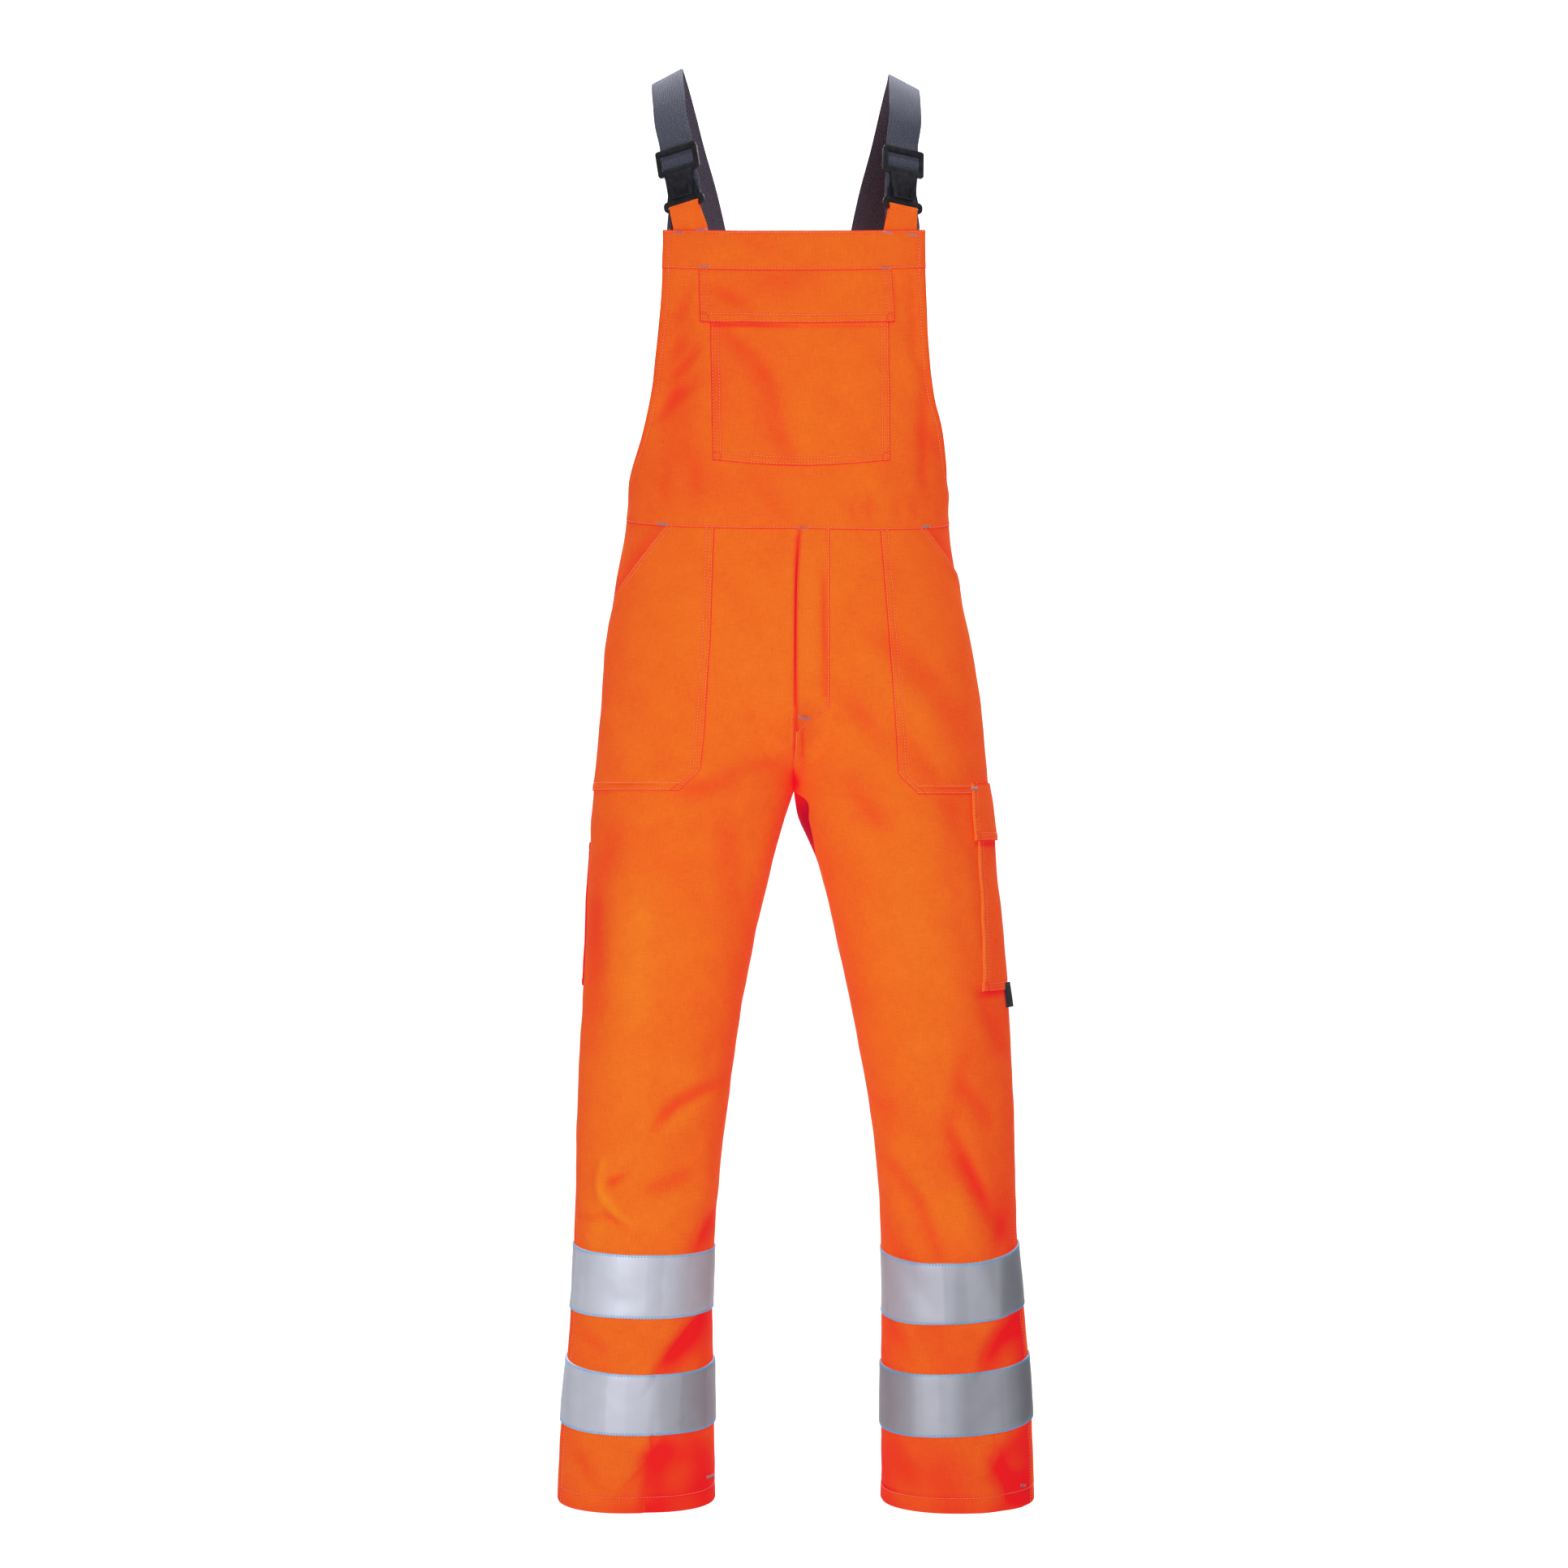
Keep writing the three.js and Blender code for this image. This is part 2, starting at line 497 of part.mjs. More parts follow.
// The chest pocket and its flap, cut from the bib's own surface moved out.
const CHEST_POCKET = { left: 107.5, right: -86.5, top: -238, bottom: -436, sag: 5 };
const FLAP = { left: 111, right: -96.5, top: -230.5, bottom: -284.5, sag: 3 };
function sagged({ left, right, top, bottom, sag }) {
  const low = [0, 1, 2, 3, 4].map((i) => [
    mix(right, left, i / 4),
    bottom - sag * Math.sin((i * Math.PI) / 4),
  ]);
  return [...low, [left, top], [right, top]];
}
const onPocket = SEAM_GAP + PATCH;
add(
  "bib_pocket",
  cutOut(wall(bib, SEAM_GAP, onPocket), prism(sagged(CHEST_POCKET), "y", -200, 0)),
  TWILL,
);
add(
  "bib_pocket_flap",
  cutOut(
    wall(bib, onPocket + SEAM_GAP, onPocket + SEAM_GAP + PATCH),
    prism(sagged(FLAP), "y", -200, 0),
  ),
  TWILL,
);

// The back panel, from the waist to the straps.
const waistBack = (share) => WAIST + curve(LINES, "rise", WAIST) * share + SEAM_GAP / 2;
const backSeam = BACK_BAND_SEAM - SEAM_GAP;
const BACK_ROWS = [0, 0.14, 0.147, 0.166, 0.208, 0.258, 0.33, 0.42, 0.52, 0.64, 0.76, 0.88, 1];
const back = torsoGrid("back", BACK_EDGES, waistBack, () => backSeam, BACK_ROWS, 16);
const backBand = torsoGrid("back", BACK_EDGES, () => BACK_BAND_SEAM, () => BACK_TOP, [0, 1], 16);
add("back_panel", wall(back, -CLOTH, 0), TWILL);
add("back_band", wall(backBand, -CLOTH, DOUBLED - CLOTH), TWILL);

// The hip pockets: patches on the front panels, with a slanting mouth at the side and the inner
// lower corner cut off.
const HIP_POCKETS = {
  right: {
    inner: [[-80, WAIST], [-84, -625], [-91, -730], [-95, -770]],
    corner: [-120, -793],
    mouth: [[-132, -503], [-187, -575], [-197, -606]],
  },
  left: {
    inner: [[98, WAIST], [108, -625], [116, -730], [118, -774]],
    corner: [141, -797],
    mouth: [[149, -506], [184, -555], [192, -584]],
  },
};
for (const [side, { inner, corner, mouth }] of Object.entries(HIP_POCKETS)) {
  const past = side === "right" ? -260 : 260; // outside the leg
  const outline = [
    [inner[0][0], 0],
    ...inner,
    corner,
    [past, corner[1]],
    [past, mouth[2][1] - 4],
    ...[...mouth].reverse(),
    [mouth[0][0], 0],
  ];
  const panel = rowsBetween(panels[side], WAIST, -840);
  add(
    "hip_pocket_" + side,
    cutOut(wall(panel, SEAM_GAP, onPocket), prism(outline, "y", -200, 20)),
    TWILL,
  );
}

// The fly: the left front's doubled edge, which laps over the right front.
const FLY = { inner: 8.2, outer: 44.5, low: -729, corner: -708 };
const flyOutline = [
  [FLY.inner, -480],
  [FLY.outer, -480],
  ...[0, 1, 2, 3, 4].map((i) => {
    const t = (i * Math.PI) / 8;
    return [
      FLY.inner + (FLY.outer - FLY.inner) * Math.cos(t),
      FLY.corner + (FLY.low - FLY.corner) * Math.sin(t),
    ];
  }),
];
add(
  "fly",
  cutOut(
    wall(rowsBetween(panels.left, WAIST, -760), SEAM_GAP, onPocket),
    prism(flyOutline, "y", -200, 0),
  ),
  TWILL,
);

// The thigh pocket on the left leg, its flap and a blank label tab, round the outer seam.
const THIGH_POCKET = { front: -66, back: 76, top: -800, bottom: -1012, lean: -5 };
const THIGH_FLAP = { front: -74, back: 82, top: -785, bottom: -848, lean: -3 };
const LABEL_TAB = { front: -24, back: -9, top: -1004, bottom: -1031, lean: 0 };
const POCKET_DEPTH = 1.7;
const FLAP_FLARE = 1.5; // how far the flap's lower edge stands off the pocket
const loopRows = rowsBetween(trousers.left, -771, -1060);
const loop = loopRows.map((row) => row.slice(5, 18));
const patch = ({ front, back, top, bottom, lean }) => [
  [front + lean, bottom],
  [back + lean, bottom],
  [back, top],
  [front, top],
];
add(
  "thigh_pocket",
  cutOut(wall(loop, SEAM_GAP, POCKET_DEPTH), prism(patch(THIGH_POCKET), "x", 120, 320)),
  TWILL,
);
const { top: flapTop, bottom: flapBottom } = THIGH_FLAP;
const flapInside = (r) => {
  const down = clamp((flapTop - loop[r][0].point.z) / (flapTop - flapBottom));
  return POCKET_DEPTH + SEAM_GAP + FLAP_FLARE * down;
};
add(
  "thigh_flap",
  cutOut(
    wall(loop, flapInside, (r) => flapInside(r) + PATCH),
    prism(patch(THIGH_FLAP), "x", 120, 320),
  ),
  TWILL,
);
add(
  "label_tab",
  cutOut(
    wall(loop, POCKET_DEPTH + SEAM_GAP, POCKET_DEPTH + SEAM_GAP + 1),
    prism(patch(LABEL_TAB), "x", 120, 320),
  ),
  DARK_LABEL,
);

// The rule pocket behind the right outer seam.
const ruleRows = rowsBetween(trousers.right, -840, -1032);
add(
  "rule_pocket",
  cutOut(
    wall(ruleRows.map((row) => row.slice(FRONT_COLUMNS, FRONT_COLUMNS + 5)), SEAM_GAP, onPocket),
    prism([[-228, -1008], [-150, -1008], [-150, -850], [-232, -850]], "y", 0, 200),
  ),
  TWILL,
);

// ---------------------------------------------------------------- straps and buckles
// Each buckle's own frame: its centre, how far it is turned outwards, tipped back and rolled.
const BUCKLES = {
  right: { x: -121.5, y: -92, z: -107.5, yaw: -22, pitch: -12, roll: -14 },
  left: { x: 125.5, y: -89, z: -109, yaw: 26, pitch: -14, roll: 8 },
};
const FRAME = { width: 48, height: 31, depth: 3.2, corner: 3 };
const WINDOW = { width: 38.8, height: 17.8 };
const CLIP_BODY = { top: 33, bottom: 23, length: 29, front: -1 };
const LOOP = {
  width: 47,
  top: -45,
  slot: { top: -51, bottom: -53.1 },
  bottom: -57.4,
  front: 0.8,
  back: 4.2,
};
const LOOP_PLATE = { top: -20, topWidth: 27, bottomWidth: 41, front: 3.5, back: 5 };

function buckleFrame(side) {
  const { x, y, z, yaw, pitch, roll } = BUCKLES[side];
  const radians = Math.PI / 180;
  const turned = new THREE.Matrix4()
    .makeRotationZ(yaw * radians)
    .multiply(new THREE.Matrix4().makeRotationX(pitch * radians))
    .multiply(new THREE.Matrix4().makeRotationY(roll * radians));
  return new THREE.Matrix4().makeTranslation(x, y, z).multiply(turned);
}

function roundedRectangle(width, bottom, top, radius) {
  const [w, r] = [width / 2, radius];
  return new THREE.Shape()
    .moveTo(-w + r, bottom)
    .lineTo(w - r, bottom)
    .absarc(w - r, bottom + r, r, -Math.PI / 2, 0)
    .lineTo(w, top - r)
    .absarc(w - r, top - r, r, 0, Math.PI / 2)
    .lineTo(-w + r, top)
    .absarc(-w + r, top - r, r, Math.PI / 2, Math.PI)
    .lineTo(-w, bottom + r)
    .absarc(-w + r, bottom + r, r, Math.PI, 1.5 * Math.PI);
}

// A flat piece: its shape stands upright, and its depth runs from front to back along +Y.
function upright(shape, front, back, curveSegments = 4) {
  const options = { depth: back - front, bevelEnabled: false, curveSegments };
  return new THREE.ExtrudeGeometry(shape, options).rotateX(Math.PI / 2).translate(0, back, 0);
}

function buckleGeometry() {
  const { width, height, depth, corner } = FRAME;
  const outer = roundedRectangle(width, -height / 2, height / 2, corner);
  const hole = roundedRectangle(WINDOW.width, -WINDOW.height / 2, WINDOW.height / 2, 0.8);
  outer.holes.push(new THREE.Path(hole.getPoints(2).reverse()));
  const low = -height / 2 - CLIP_BODY.length;
  const body = new THREE.Shape([
    new THREE.Vector2(-CLIP_BODY.bottom / 2, low),
    new THREE.Vector2(CLIP_BODY.bottom / 2, low),
    new THREE.Vector2(CLIP_BODY.top / 2, 1 - height / 2),
    new THREE.Vector2(-CLIP_BODY.top / 2, 1 - height / 2),
  ]);
  const railWidth = (width - WINDOW.width) / 2;
  const rail = (from) => {
    const shape = roundedRectangle(railWidth, -height / 2 + corner, height / 2 - corner, 1);
    return upright(shape, depth - 0.5, 5.6, 2).translate(from, 0, 0);
  };
  const railAt = (width - railWidth) / 2;
  const bar = new THREE.CylinderGeometry(1.3, 1.3, WINDOW.width + 2, 10);
  bar.rotateZ(Math.PI / 2).translate(0, 4.25, 0);
  const half = new THREE.Shape().absarc(0, low + 13, 6.5, Math.PI, 2 * Math.PI);
  const recess = new THREE.BoxGeometry(16, 2.2, 11).translate(0, CLIP_BODY.front + 1, low + 7.5);
  const solid = [rail(-railAt), rail(railAt), bar, upright(body, CLIP_BODY.front, depth)]
    .map(manifoldOf)
    .reduce((sum, piece) => sum.add(piece), manifoldOf(upright(outer, 0, depth)));
  const button = manifoldOf(upright(half, CLIP_BODY.front + 0.6, depth, 10));
  return geometryOf(solid.subtract(manifoldOf(recess)).add(button));
}

function loopGeometry() {
  const outer = roundedRectangle(LOOP.width, LOOP.bottom, LOOP.top, 5);
  const slot = roundedRectangle(LOOP.width - 7.6, LOOP.slot.bottom, LOOP.slot.top, 0.6);
  outer.holes.push(new THREE.Path(slot.getPoints(2).reverse()));
  const plate = new THREE.Shape([
    new THREE.Vector2(-LOOP_PLATE.bottomWidth / 2, LOOP.top - 2),
    new THREE.Vector2(LOOP_PLATE.bottomWidth / 2, LOOP.top - 2),
    new THREE.Vector2(LOOP_PLATE.topWidth / 2, LOOP_PLATE.top),
    new THREE.Vector2(-LOOP_PLATE.topWidth / 2, LOOP_PLATE.top),
  ]);
  const ring = manifoldOf(upright(outer, LOOP.front, LOOP.back));
  return geometryOf(ring.add(manifoldOf(upright(plate, LOOP_PLATE.front, LOOP_PLATE.back))));
}

for (const side of ["right", "left"]) {
  for (const [name, geometry] of [["buckle_", buckleGeometry()], ["loop_", loopGeometry()]]) {
    const mesh = add(name + side, geometry, BLACK_PLASTIC);
    mesh.applyMatrix4(buckleFrame(side));
  }
}

// The webbing's way from the back panel, over the shoulder and down to the buckle: its middle,
// how far the edge towards the neck is raised and turned forwards, in degrees, and how much
// lower the left strap lies.
const STRAP = [
  { right: -85, left: 85, y: 101, z: -180, raised: 15, turned: -12, leftDrop: 0 },
  { right: -99, left: 98, y: 92, z: -120, raised: 16, turned: -10, leftDrop: 1 },
  { right: -113, left: 111, y: 80, z: -72, raised: 19, turned: -8, leftDrop: 2 },
  { right: -122, left: 119, y: 65, z: -38, raised: 22, turned: -5, leftDrop: 3 },
  { right: -128, left: 124, y: 46, z: -17, raised: 25, turned: -2, leftDrop: 4 },
  { right: -132, left: 127, y: 25, z: -5, raised: 28, turned: 0, leftDrop: 5 },
  { right: -134, left: 127.5, y: 3, z: -1, raised: 28, turned: 0, leftDrop: 6 },
  { right: -134, left: 127.5, y: -19, z: -6, raised: 27, turned: 3, leftDrop: 6 },
  { right: -133, left: 127.5, y: -40, z: -19, raised: 25, turned: 8, leftDrop: 4 },
  { right: -131, left: 127.5, y: -57, z: -38, raised: 21, turned: 13, leftDrop: 2 },
  { right: -129, left: 127.5, y: -69, z: -60, raised: 18, turned: 17, leftDrop: 0 },
];
// Its way through the buckle, in the buckle's own frame: behind the top bar, over the middle
// bar, behind the lower bar and down behind the clip.
const THROUGH = [
  { depth: 4.8, up: 24 },
  { depth: 4.5, up: 14.5 },
  { depth: 4.5, up: 8.8 },
  { depth: 2.3, up: 4 },
  { depth: 1.7, up: 0 },
  { depth: 2.3, up: -4 },
  { depth: 4.5, up: -8.8 },
  { depth: 5.4, up: -14 },
  { depth: 6.6, up: -20 },
  { depth: 7.4, up: -34 },
  { depth: 7.8, up: -48 },
];
// The ends lie inside the back panel and inside the bib: the webbing's middle, and how far it
// is from the panel's outer face.
const SEWN_ENDS = {
  right: [{ x: -68, z: -268, inside: 3.2 }, { x: -73, z: -236, inside: 3.2 }],
  left: [{ x: 68, z: -268, inside: 3.2 }, { x: 73, z: -236, inside: 3.2 }],
};
const FREE_ENDS = {
  right: [{ x: -117, z: -180, inside: 8.5 }, { x: -116, z: -222, inside: 7.5 }],
  left: [{ x: 128, z: -180, inside: 8.5 }, { x: 128, z: -222, inside: 7.5 }],
};

// A point of the trunk's front or back at a given place across, and its outward normal.
function torsoPointAt(face, side, x, z) {
  const centre = curve(TRUNK, face === "front" ? "frontX" : "backX", z);
  const share = Math.abs((x - centre) / (curve(TRUNK, side, z) - centre));
  const fromFront = Math.asin(share ** (FULLNESS / 2)) / Math.PI;
  const turn = face === "front" ? fromFront : 1 - fromFront;
  const round = sub(torsoAt(side, turn + 0.006, z), torsoAt(side, turn - 0.006, z));
  const rise = sub(torsoAt(side, turn, z + 3), torsoAt(side, turn, z - 3));
  const normal = unitCross(round, rise).multiplyScalar(side === "right" ? -1 : 1);
  return { point: torsoAt(side, turn, z), normal };
}

function strapGrid(side) {
  const hand = side === "right" ? 1 : -1; // towards the neck
  const radians = Math.PI / 180;
  const across = ({ raised, turned }) =>
    new THREE.Vector3(
      hand * Math.cos(turned * radians) * Math.cos(raised * radians),
      -Math.sin(turned * radians),
      Math.sin(raised * radians),
    );
  const frame = buckleFrame(side);
  const buckleAcross = new THREE.Vector3(hand, 0, 0).transformDirection(frame);
  const sewnAt = (face) => ({ x, z, inside }) => {
    const { point, normal } = torsoPointAt(face, side, x, z);
    const flat = new THREE.Vector3(Math.abs(normal.y), -Math.sign(normal.y) * normal.x, 0);
    return [point.addScaledVector(normal, -inside), flat.normalize().multiplyScalar(hand)];
  };
  const stations = [
    ...SEWN_ENDS[side].map(sewnAt("back")),
    ...STRAP.map((row) => {
      const z = row.z - (side === "left" ? row.leftDrop : 0);
      return [new THREE.Vector3(row[side], row.y, z), across(row)];
    }),
    ...THROUGH.map(({ depth, up }) => [
      new THREE.Vector3(0, depth, up).applyMatrix4(frame),
      buckleAcross,
    ]),
    ...FREE_ENDS[side].map(sewnAt("front")),
  ];
  const line = new THREE.CatmullRomCurve3(stations.map(([point]) => point), false, "centripetal");
  const widths = new THREE.CatmullRomCurve3(stations.map(([, wide]) => wide), false);
  const steps = (stations.length - 1) * 2;
  const grid = [];
  for (let i = 0; i <= steps; i++) {
    const along = line.getTangent(i / steps);
    const wide = widths.getPoint(i / steps);
    wide.addScaledVector(along, -wide.dot(along)).normalize();
    const normal = unitCross(along, wide).multiplyScalar(hand);
    const middle = line.getPoint(i / steps);
    grid.push(
      [-0.5, 0.5].map((t) => ({
        point: middle.clone().addScaledVector(wide, t * WEBBING_WIDTH),
        normal,
      })),
    );
  }
  return grid;
}

for (const side of ["right", "left"])
  add("strap_" + side, wall(strapGrid(side), -WEBBING / 2, WEBBING / 2), GREY_WEBBING);

// The cloth tabs: a strip round each loop's lower bar, both ends sewn behind the bib's top band.
const TABS = {
  right: { inner: -87.5, outer: -125.2, topWidth: 33.5 },
  left: { inner: 103.8, outer: 139.8, topWidth: 33 },
};
const TAB_HIDDEN = -200; // how low the tabs reach behind the band
const TAB = 1.1;

function tabGrid(side) {
  const { inner, outer, topWidth } = TABS[side];
  const frame = buckleFrame(side);
  const bar = {
    depth: (LOOP.front + LOOP.back) / 2,
    up: (LOOP.slot.bottom + LOOP.bottom) / 2,
  };
  const clear = SEAM_GAP + TAB / 2;
  const reach = {
    depth: (LOOP.back - LOOP.front) / 2 + clear,
    up: LOOP.slot.bottom - bar.up + clear,
  };
  const behindBand = (t, inside, z) => {
    const x = mix(Math.min(inner, outer), Math.max(inner, outer), t);
    const { point, normal } = torsoPointAt("front", side, x, z);
    return point.addScaledVector(normal, -inside);
  };
  const onBar = (t, depth, up) =>
    new THREE.Vector3(
      (t - 0.5) * topWidth,
      bar.depth + reach.depth * depth,
      bar.up + reach.up * up,
    ).applyMatrix4(frame);
  const tight = 0.93; // the strip turns tightly round the bar's two upper edges
  const roundBar = [[1, -1], [1, 0], [tight, tight], [0, 1], [-tight, tight], [-1, 0], [-1, -1]];
  const frontInside = CLOTH + 2 * SEAM_GAP + TAB / 2;
  const backInside = frontInside + SEAM_GAP + TAB;
  const shares = [0, 0.33, 0.67, 1];
  const rows = [
    shares.map((t) => behindBand(t, backInside, TAB_HIDDEN)),
    shares.map((t) => behindBand(t, backInside, BIB_TOP + 2)),
    ...roundBar.map(([depth, up]) => shares.map((t) => onBar(t, depth, up))),
    shares.map((t) => behindBand(t, frontInside, BIB_TOP + 2)),
    shares.map((t) => behindBand(t, frontInside, TAB_HIDDEN)),
  ];
  return rows.map((row, r) =>
    row.map((point, c) => {
      const wide = sub(row[Math.min(c + 1, 3)], row[Math.max(c - 1, 0)]);
      const along = sub(rows[Math.min(r + 1, rows.length - 1)][c], rows[Math.max(r - 1, 0)][c]);
      return { point, normal: unitCross(wide, along) };
    }),
  );
}

for (const side of ["right", "left"])
  add("strap_tab_" + side, wall(tabGrid(side), -TAB / 2, TAB / 2), TWILL);

export default overalls;
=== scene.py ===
# %% [markdown]
# # Bib overalls in orange high-visibility twill
#
# The garment keeps the hollow shape that it has on a standing wearer. Every cloth piece is a thin
# shell that follows one smooth body, and a list of creases moves that body in and out. The
# webbing, the buckles, the seams' stitches and the bartacks are made on top of the same surface,
# so they all stay together when a number changes.

# %% Load the fixed frame
import json
import math

import bmesh
import bpy
import numpy as np
from mathutils import Matrix, Vector

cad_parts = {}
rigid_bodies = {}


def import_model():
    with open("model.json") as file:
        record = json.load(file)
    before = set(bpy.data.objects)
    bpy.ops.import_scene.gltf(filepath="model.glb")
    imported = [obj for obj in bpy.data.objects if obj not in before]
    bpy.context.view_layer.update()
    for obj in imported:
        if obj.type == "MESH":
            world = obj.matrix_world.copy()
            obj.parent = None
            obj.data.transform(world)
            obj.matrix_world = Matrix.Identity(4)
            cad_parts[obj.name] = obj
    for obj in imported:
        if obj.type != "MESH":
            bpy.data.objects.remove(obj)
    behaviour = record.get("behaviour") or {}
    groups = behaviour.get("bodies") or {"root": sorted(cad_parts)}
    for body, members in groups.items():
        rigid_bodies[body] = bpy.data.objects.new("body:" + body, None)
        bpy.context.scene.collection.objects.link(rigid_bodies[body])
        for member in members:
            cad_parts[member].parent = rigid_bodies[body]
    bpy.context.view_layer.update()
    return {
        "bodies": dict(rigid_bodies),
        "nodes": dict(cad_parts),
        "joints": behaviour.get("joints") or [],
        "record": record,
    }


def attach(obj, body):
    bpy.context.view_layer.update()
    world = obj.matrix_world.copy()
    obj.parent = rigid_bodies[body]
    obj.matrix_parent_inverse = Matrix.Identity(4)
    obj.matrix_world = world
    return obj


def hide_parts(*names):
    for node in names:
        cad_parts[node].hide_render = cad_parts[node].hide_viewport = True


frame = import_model()
MM = 0.001
print("frame:", len(frame["nodes"]), "nodes")

# %% [markdown]
# ## The camera
#
# The garment is seen straight from the front, from a little over four metres away and at half its
# height. A long lens keeps the legs parallel, as a catalogue picture does. The camera comes first
# because it decides how fine the cloth has to be.

# %% Camera
CAMERA_AWAY = 4.3
CAMERA_HEIGHT = -0.7852
VIEW_WIDTH = 1.7388  # metres across the view, at the garment's middle
camera_data = bpy.data.cameras.new("camera")
camera = bpy.data.objects.new("camera", camera_data)
bpy.context.scene.collection.objects.link(camera)
camera.location = (-0.005, -CAMERA_AWAY, CAMERA_HEIGHT)
camera.rotation_euler = (math.pi / 2, 0, 0)
camera_data.lens = camera_data.sensor_width * CAMERA_AWAY / VIEW_WIDTH
bpy.context.scene.camera = camera
print("lens:", round(camera_data.lens, 1), "mm")

# %% [markdown]
# ## The body that the cloth follows
#
# A pattern maker thinks in girths at a few heights: shoulders, chest, waist, hip, thigh, knee and
# hem. The two tables hold these, in millimetres, with the front at -Y and the wearer's left at +X.
# A smooth curve runs through the rows, so a few rows are enough for a metre and a half of cloth.

# %% Tables of the trunk, the legs and the cloth's cross lines
def table(names, *rows):
    """Columns by name, sorted upwards by the first one."""
    data = np.array(rows, float)
    data = data[np.argsort(data[:, 0])]
    return dict(zip(names.split(), data.T))


TRUNK = table(
    "z right left front back front_x back_x",
    (-20, -190, 190, 96, 92, 4, 0),
    (-190, -202, 206, 124, 116, 6, 0),
    (-280, -201, 205, 124, 114, 8, 0),
    (-380, -190, 193, 122, 106, 10, 0),
    (-440, -179, 181, 120, 101, 11, 0),
    (-493, -179, 177, 119, 101, 12, 0),
    (-567, -192, 188, 121, 119, 9, 1),
    (-640, -202, 202, 121, 132, 8, 3),
    (-720, -208, 214, 117, 137, 7, 6),
    (-792, -216, 221, 112, 131, 6, 6),
)
# The seam column is how far the outer seam runs round towards the front, and the lap column how
# far the back leg comes round the inseam, both as shares of half a turn.
LEGS = table(
    "z right_out right_in left_in left_out front back seam lap",
    (-792, -216, 6, 6, 221, 112, 131, 0, 0),
    (-803, -216.8, 2, 7.5, 222.3, 110.8, 129.7, 0, 0.156),
    (-825, -218.5, -5.5, 12, 224, 109, 126, 0, 0.15),
    (-850, -219.5, -12.5, 23, 226, 107, 122, 0, 0.105),
    (-870, -220.5, -17.5, 31.5, 227, 105, 120, 0, 0.035),
    (-885, -221.5, -21, 36, 228, 104, 118, 0, 0),
    (-950, -224.5, -36, 52, 235.5, 98, 111, 0.02, 0),
    (-1040, -229.5, -53.5, 71, 244, 92, 101, 0.04, 0),
    (-1130, -233.5, -66.5, 88, 249, 86, 93, 0.06, 0),
    (-1220, -236, -77, 99, 251, 82, 86, 0.08, 0),
    (-1310, -238, -83, 103, 255, 78, 82, 0.1, 0),
    (-1400, -244, -84, 103, 264, 75, 79, 0.11, 0),
    (-1490, -252, -83, 103, 270, 73, 77, 0.11, 0),
    (-1580, -257, -81, 102, 272, 72, 76, 0.11, 0),
)
# How far a cross line of the cloth drops at the middle of each front and rises at the back, how far
# it is tipped down at the inseam, and how much lower it lies on the whole on each side.
LINES = table(
    "z right left rise right_tip left_tip right_low left_low",
    (-493, 17, 17, 8, 0, 0, 1, 6),
    (-560, 4, 4, 2, 0, 0, 1, 4),
    (-640, 0, 0, 0, 0, 0, 0, 0),
    (-1220, 0, 2, 0, 0, 0, 0, 0),
    (-1294, 4, 13, 0, 2, 3, 0, 0),
    (-1364, 4, 10, 0, 1, 5, 0, 0),
    (-1419, 10, 9, 0, 2, 5, 0, 0),
    (-1489, 7, 8, 0, 1, 5, 0, 0),
    (-1575, 6, 6, 0, 0, 0, 0, 0),
)
BIB_EDGES = table(
    "z right left",
    (-462, -177, 176),
    (-448, -176, 175),
    (-425, -171, 175),
    (-390, -161, 171.5),
    (-350, -151, 161),
    (-300, -145, 154),
    (-240, -139, 150),
    (-186, -136, 147.5),
)
BACK_EDGES = table(
    "z right left",
    (-462, -177, 174),
    (-446, -172, 170),
    (-415, -158, 157),
    (-370, -139, 139),
    (-310, -118, 119),
    (-244, -100, 101),
)
WAIST, FORK_TOP, CROTCH, HEM = -493, -722, -792, -1575
TAPES = {"upper": (-1294, -1364), "lower": (-1419, -1489)}
FULLNESS = 2.3  # a section's roundness: 2 is an ellipse, and more is squarer
SEAM_GAP = 0.3  # between two pieces that are sewn to each other
EASE = SEAM_GAP / 2
TURN_STEP, HEIGHT_STEP = 0.004, 1.2  # small steps for finding which way a surface faces
SIDES = {"right": -1, "left": 1}


# %% Reading the tables and shaping the sections
def curve(columns, name, z):
    """A column read at any height, as one smooth curve through its rows."""
    heights, values = columns["z"], columns[name]
    z = np.clip(z, heights[0], heights[-1])
    i = np.clip(np.searchsorted(heights, z, side="right") - 1, 0, len(heights) - 2)
    before = np.maximum(np.arange(len(heights)) - 1, 0)
    after = np.minimum(np.arange(len(heights)) + 1, len(heights) - 1)
    slope = (values[after] - values[before]) / (heights[after] - heights[before])
    step = heights[i + 1] - heights[i]
    t = (z - heights[i]) / step
    held = values[i] * (2 * t**3 - 3 * t**2 + 1) + values[i + 1] * (3 * t**2 - 2 * t**3)
    return held + step * (slope[i] * (t**3 - 2 * t**2 + t) + slope[i + 1] * (t**3 - t**2))


def mix(a, b, t):
    return a + (b - a) * t


def smooth(v):
    v = np.clip(v, 0, 1)
    return v * v * (3 - 2 * v)


def bulge(v):
    return np.sign(v) * np.abs(v) ** (2 / FULLNESS)


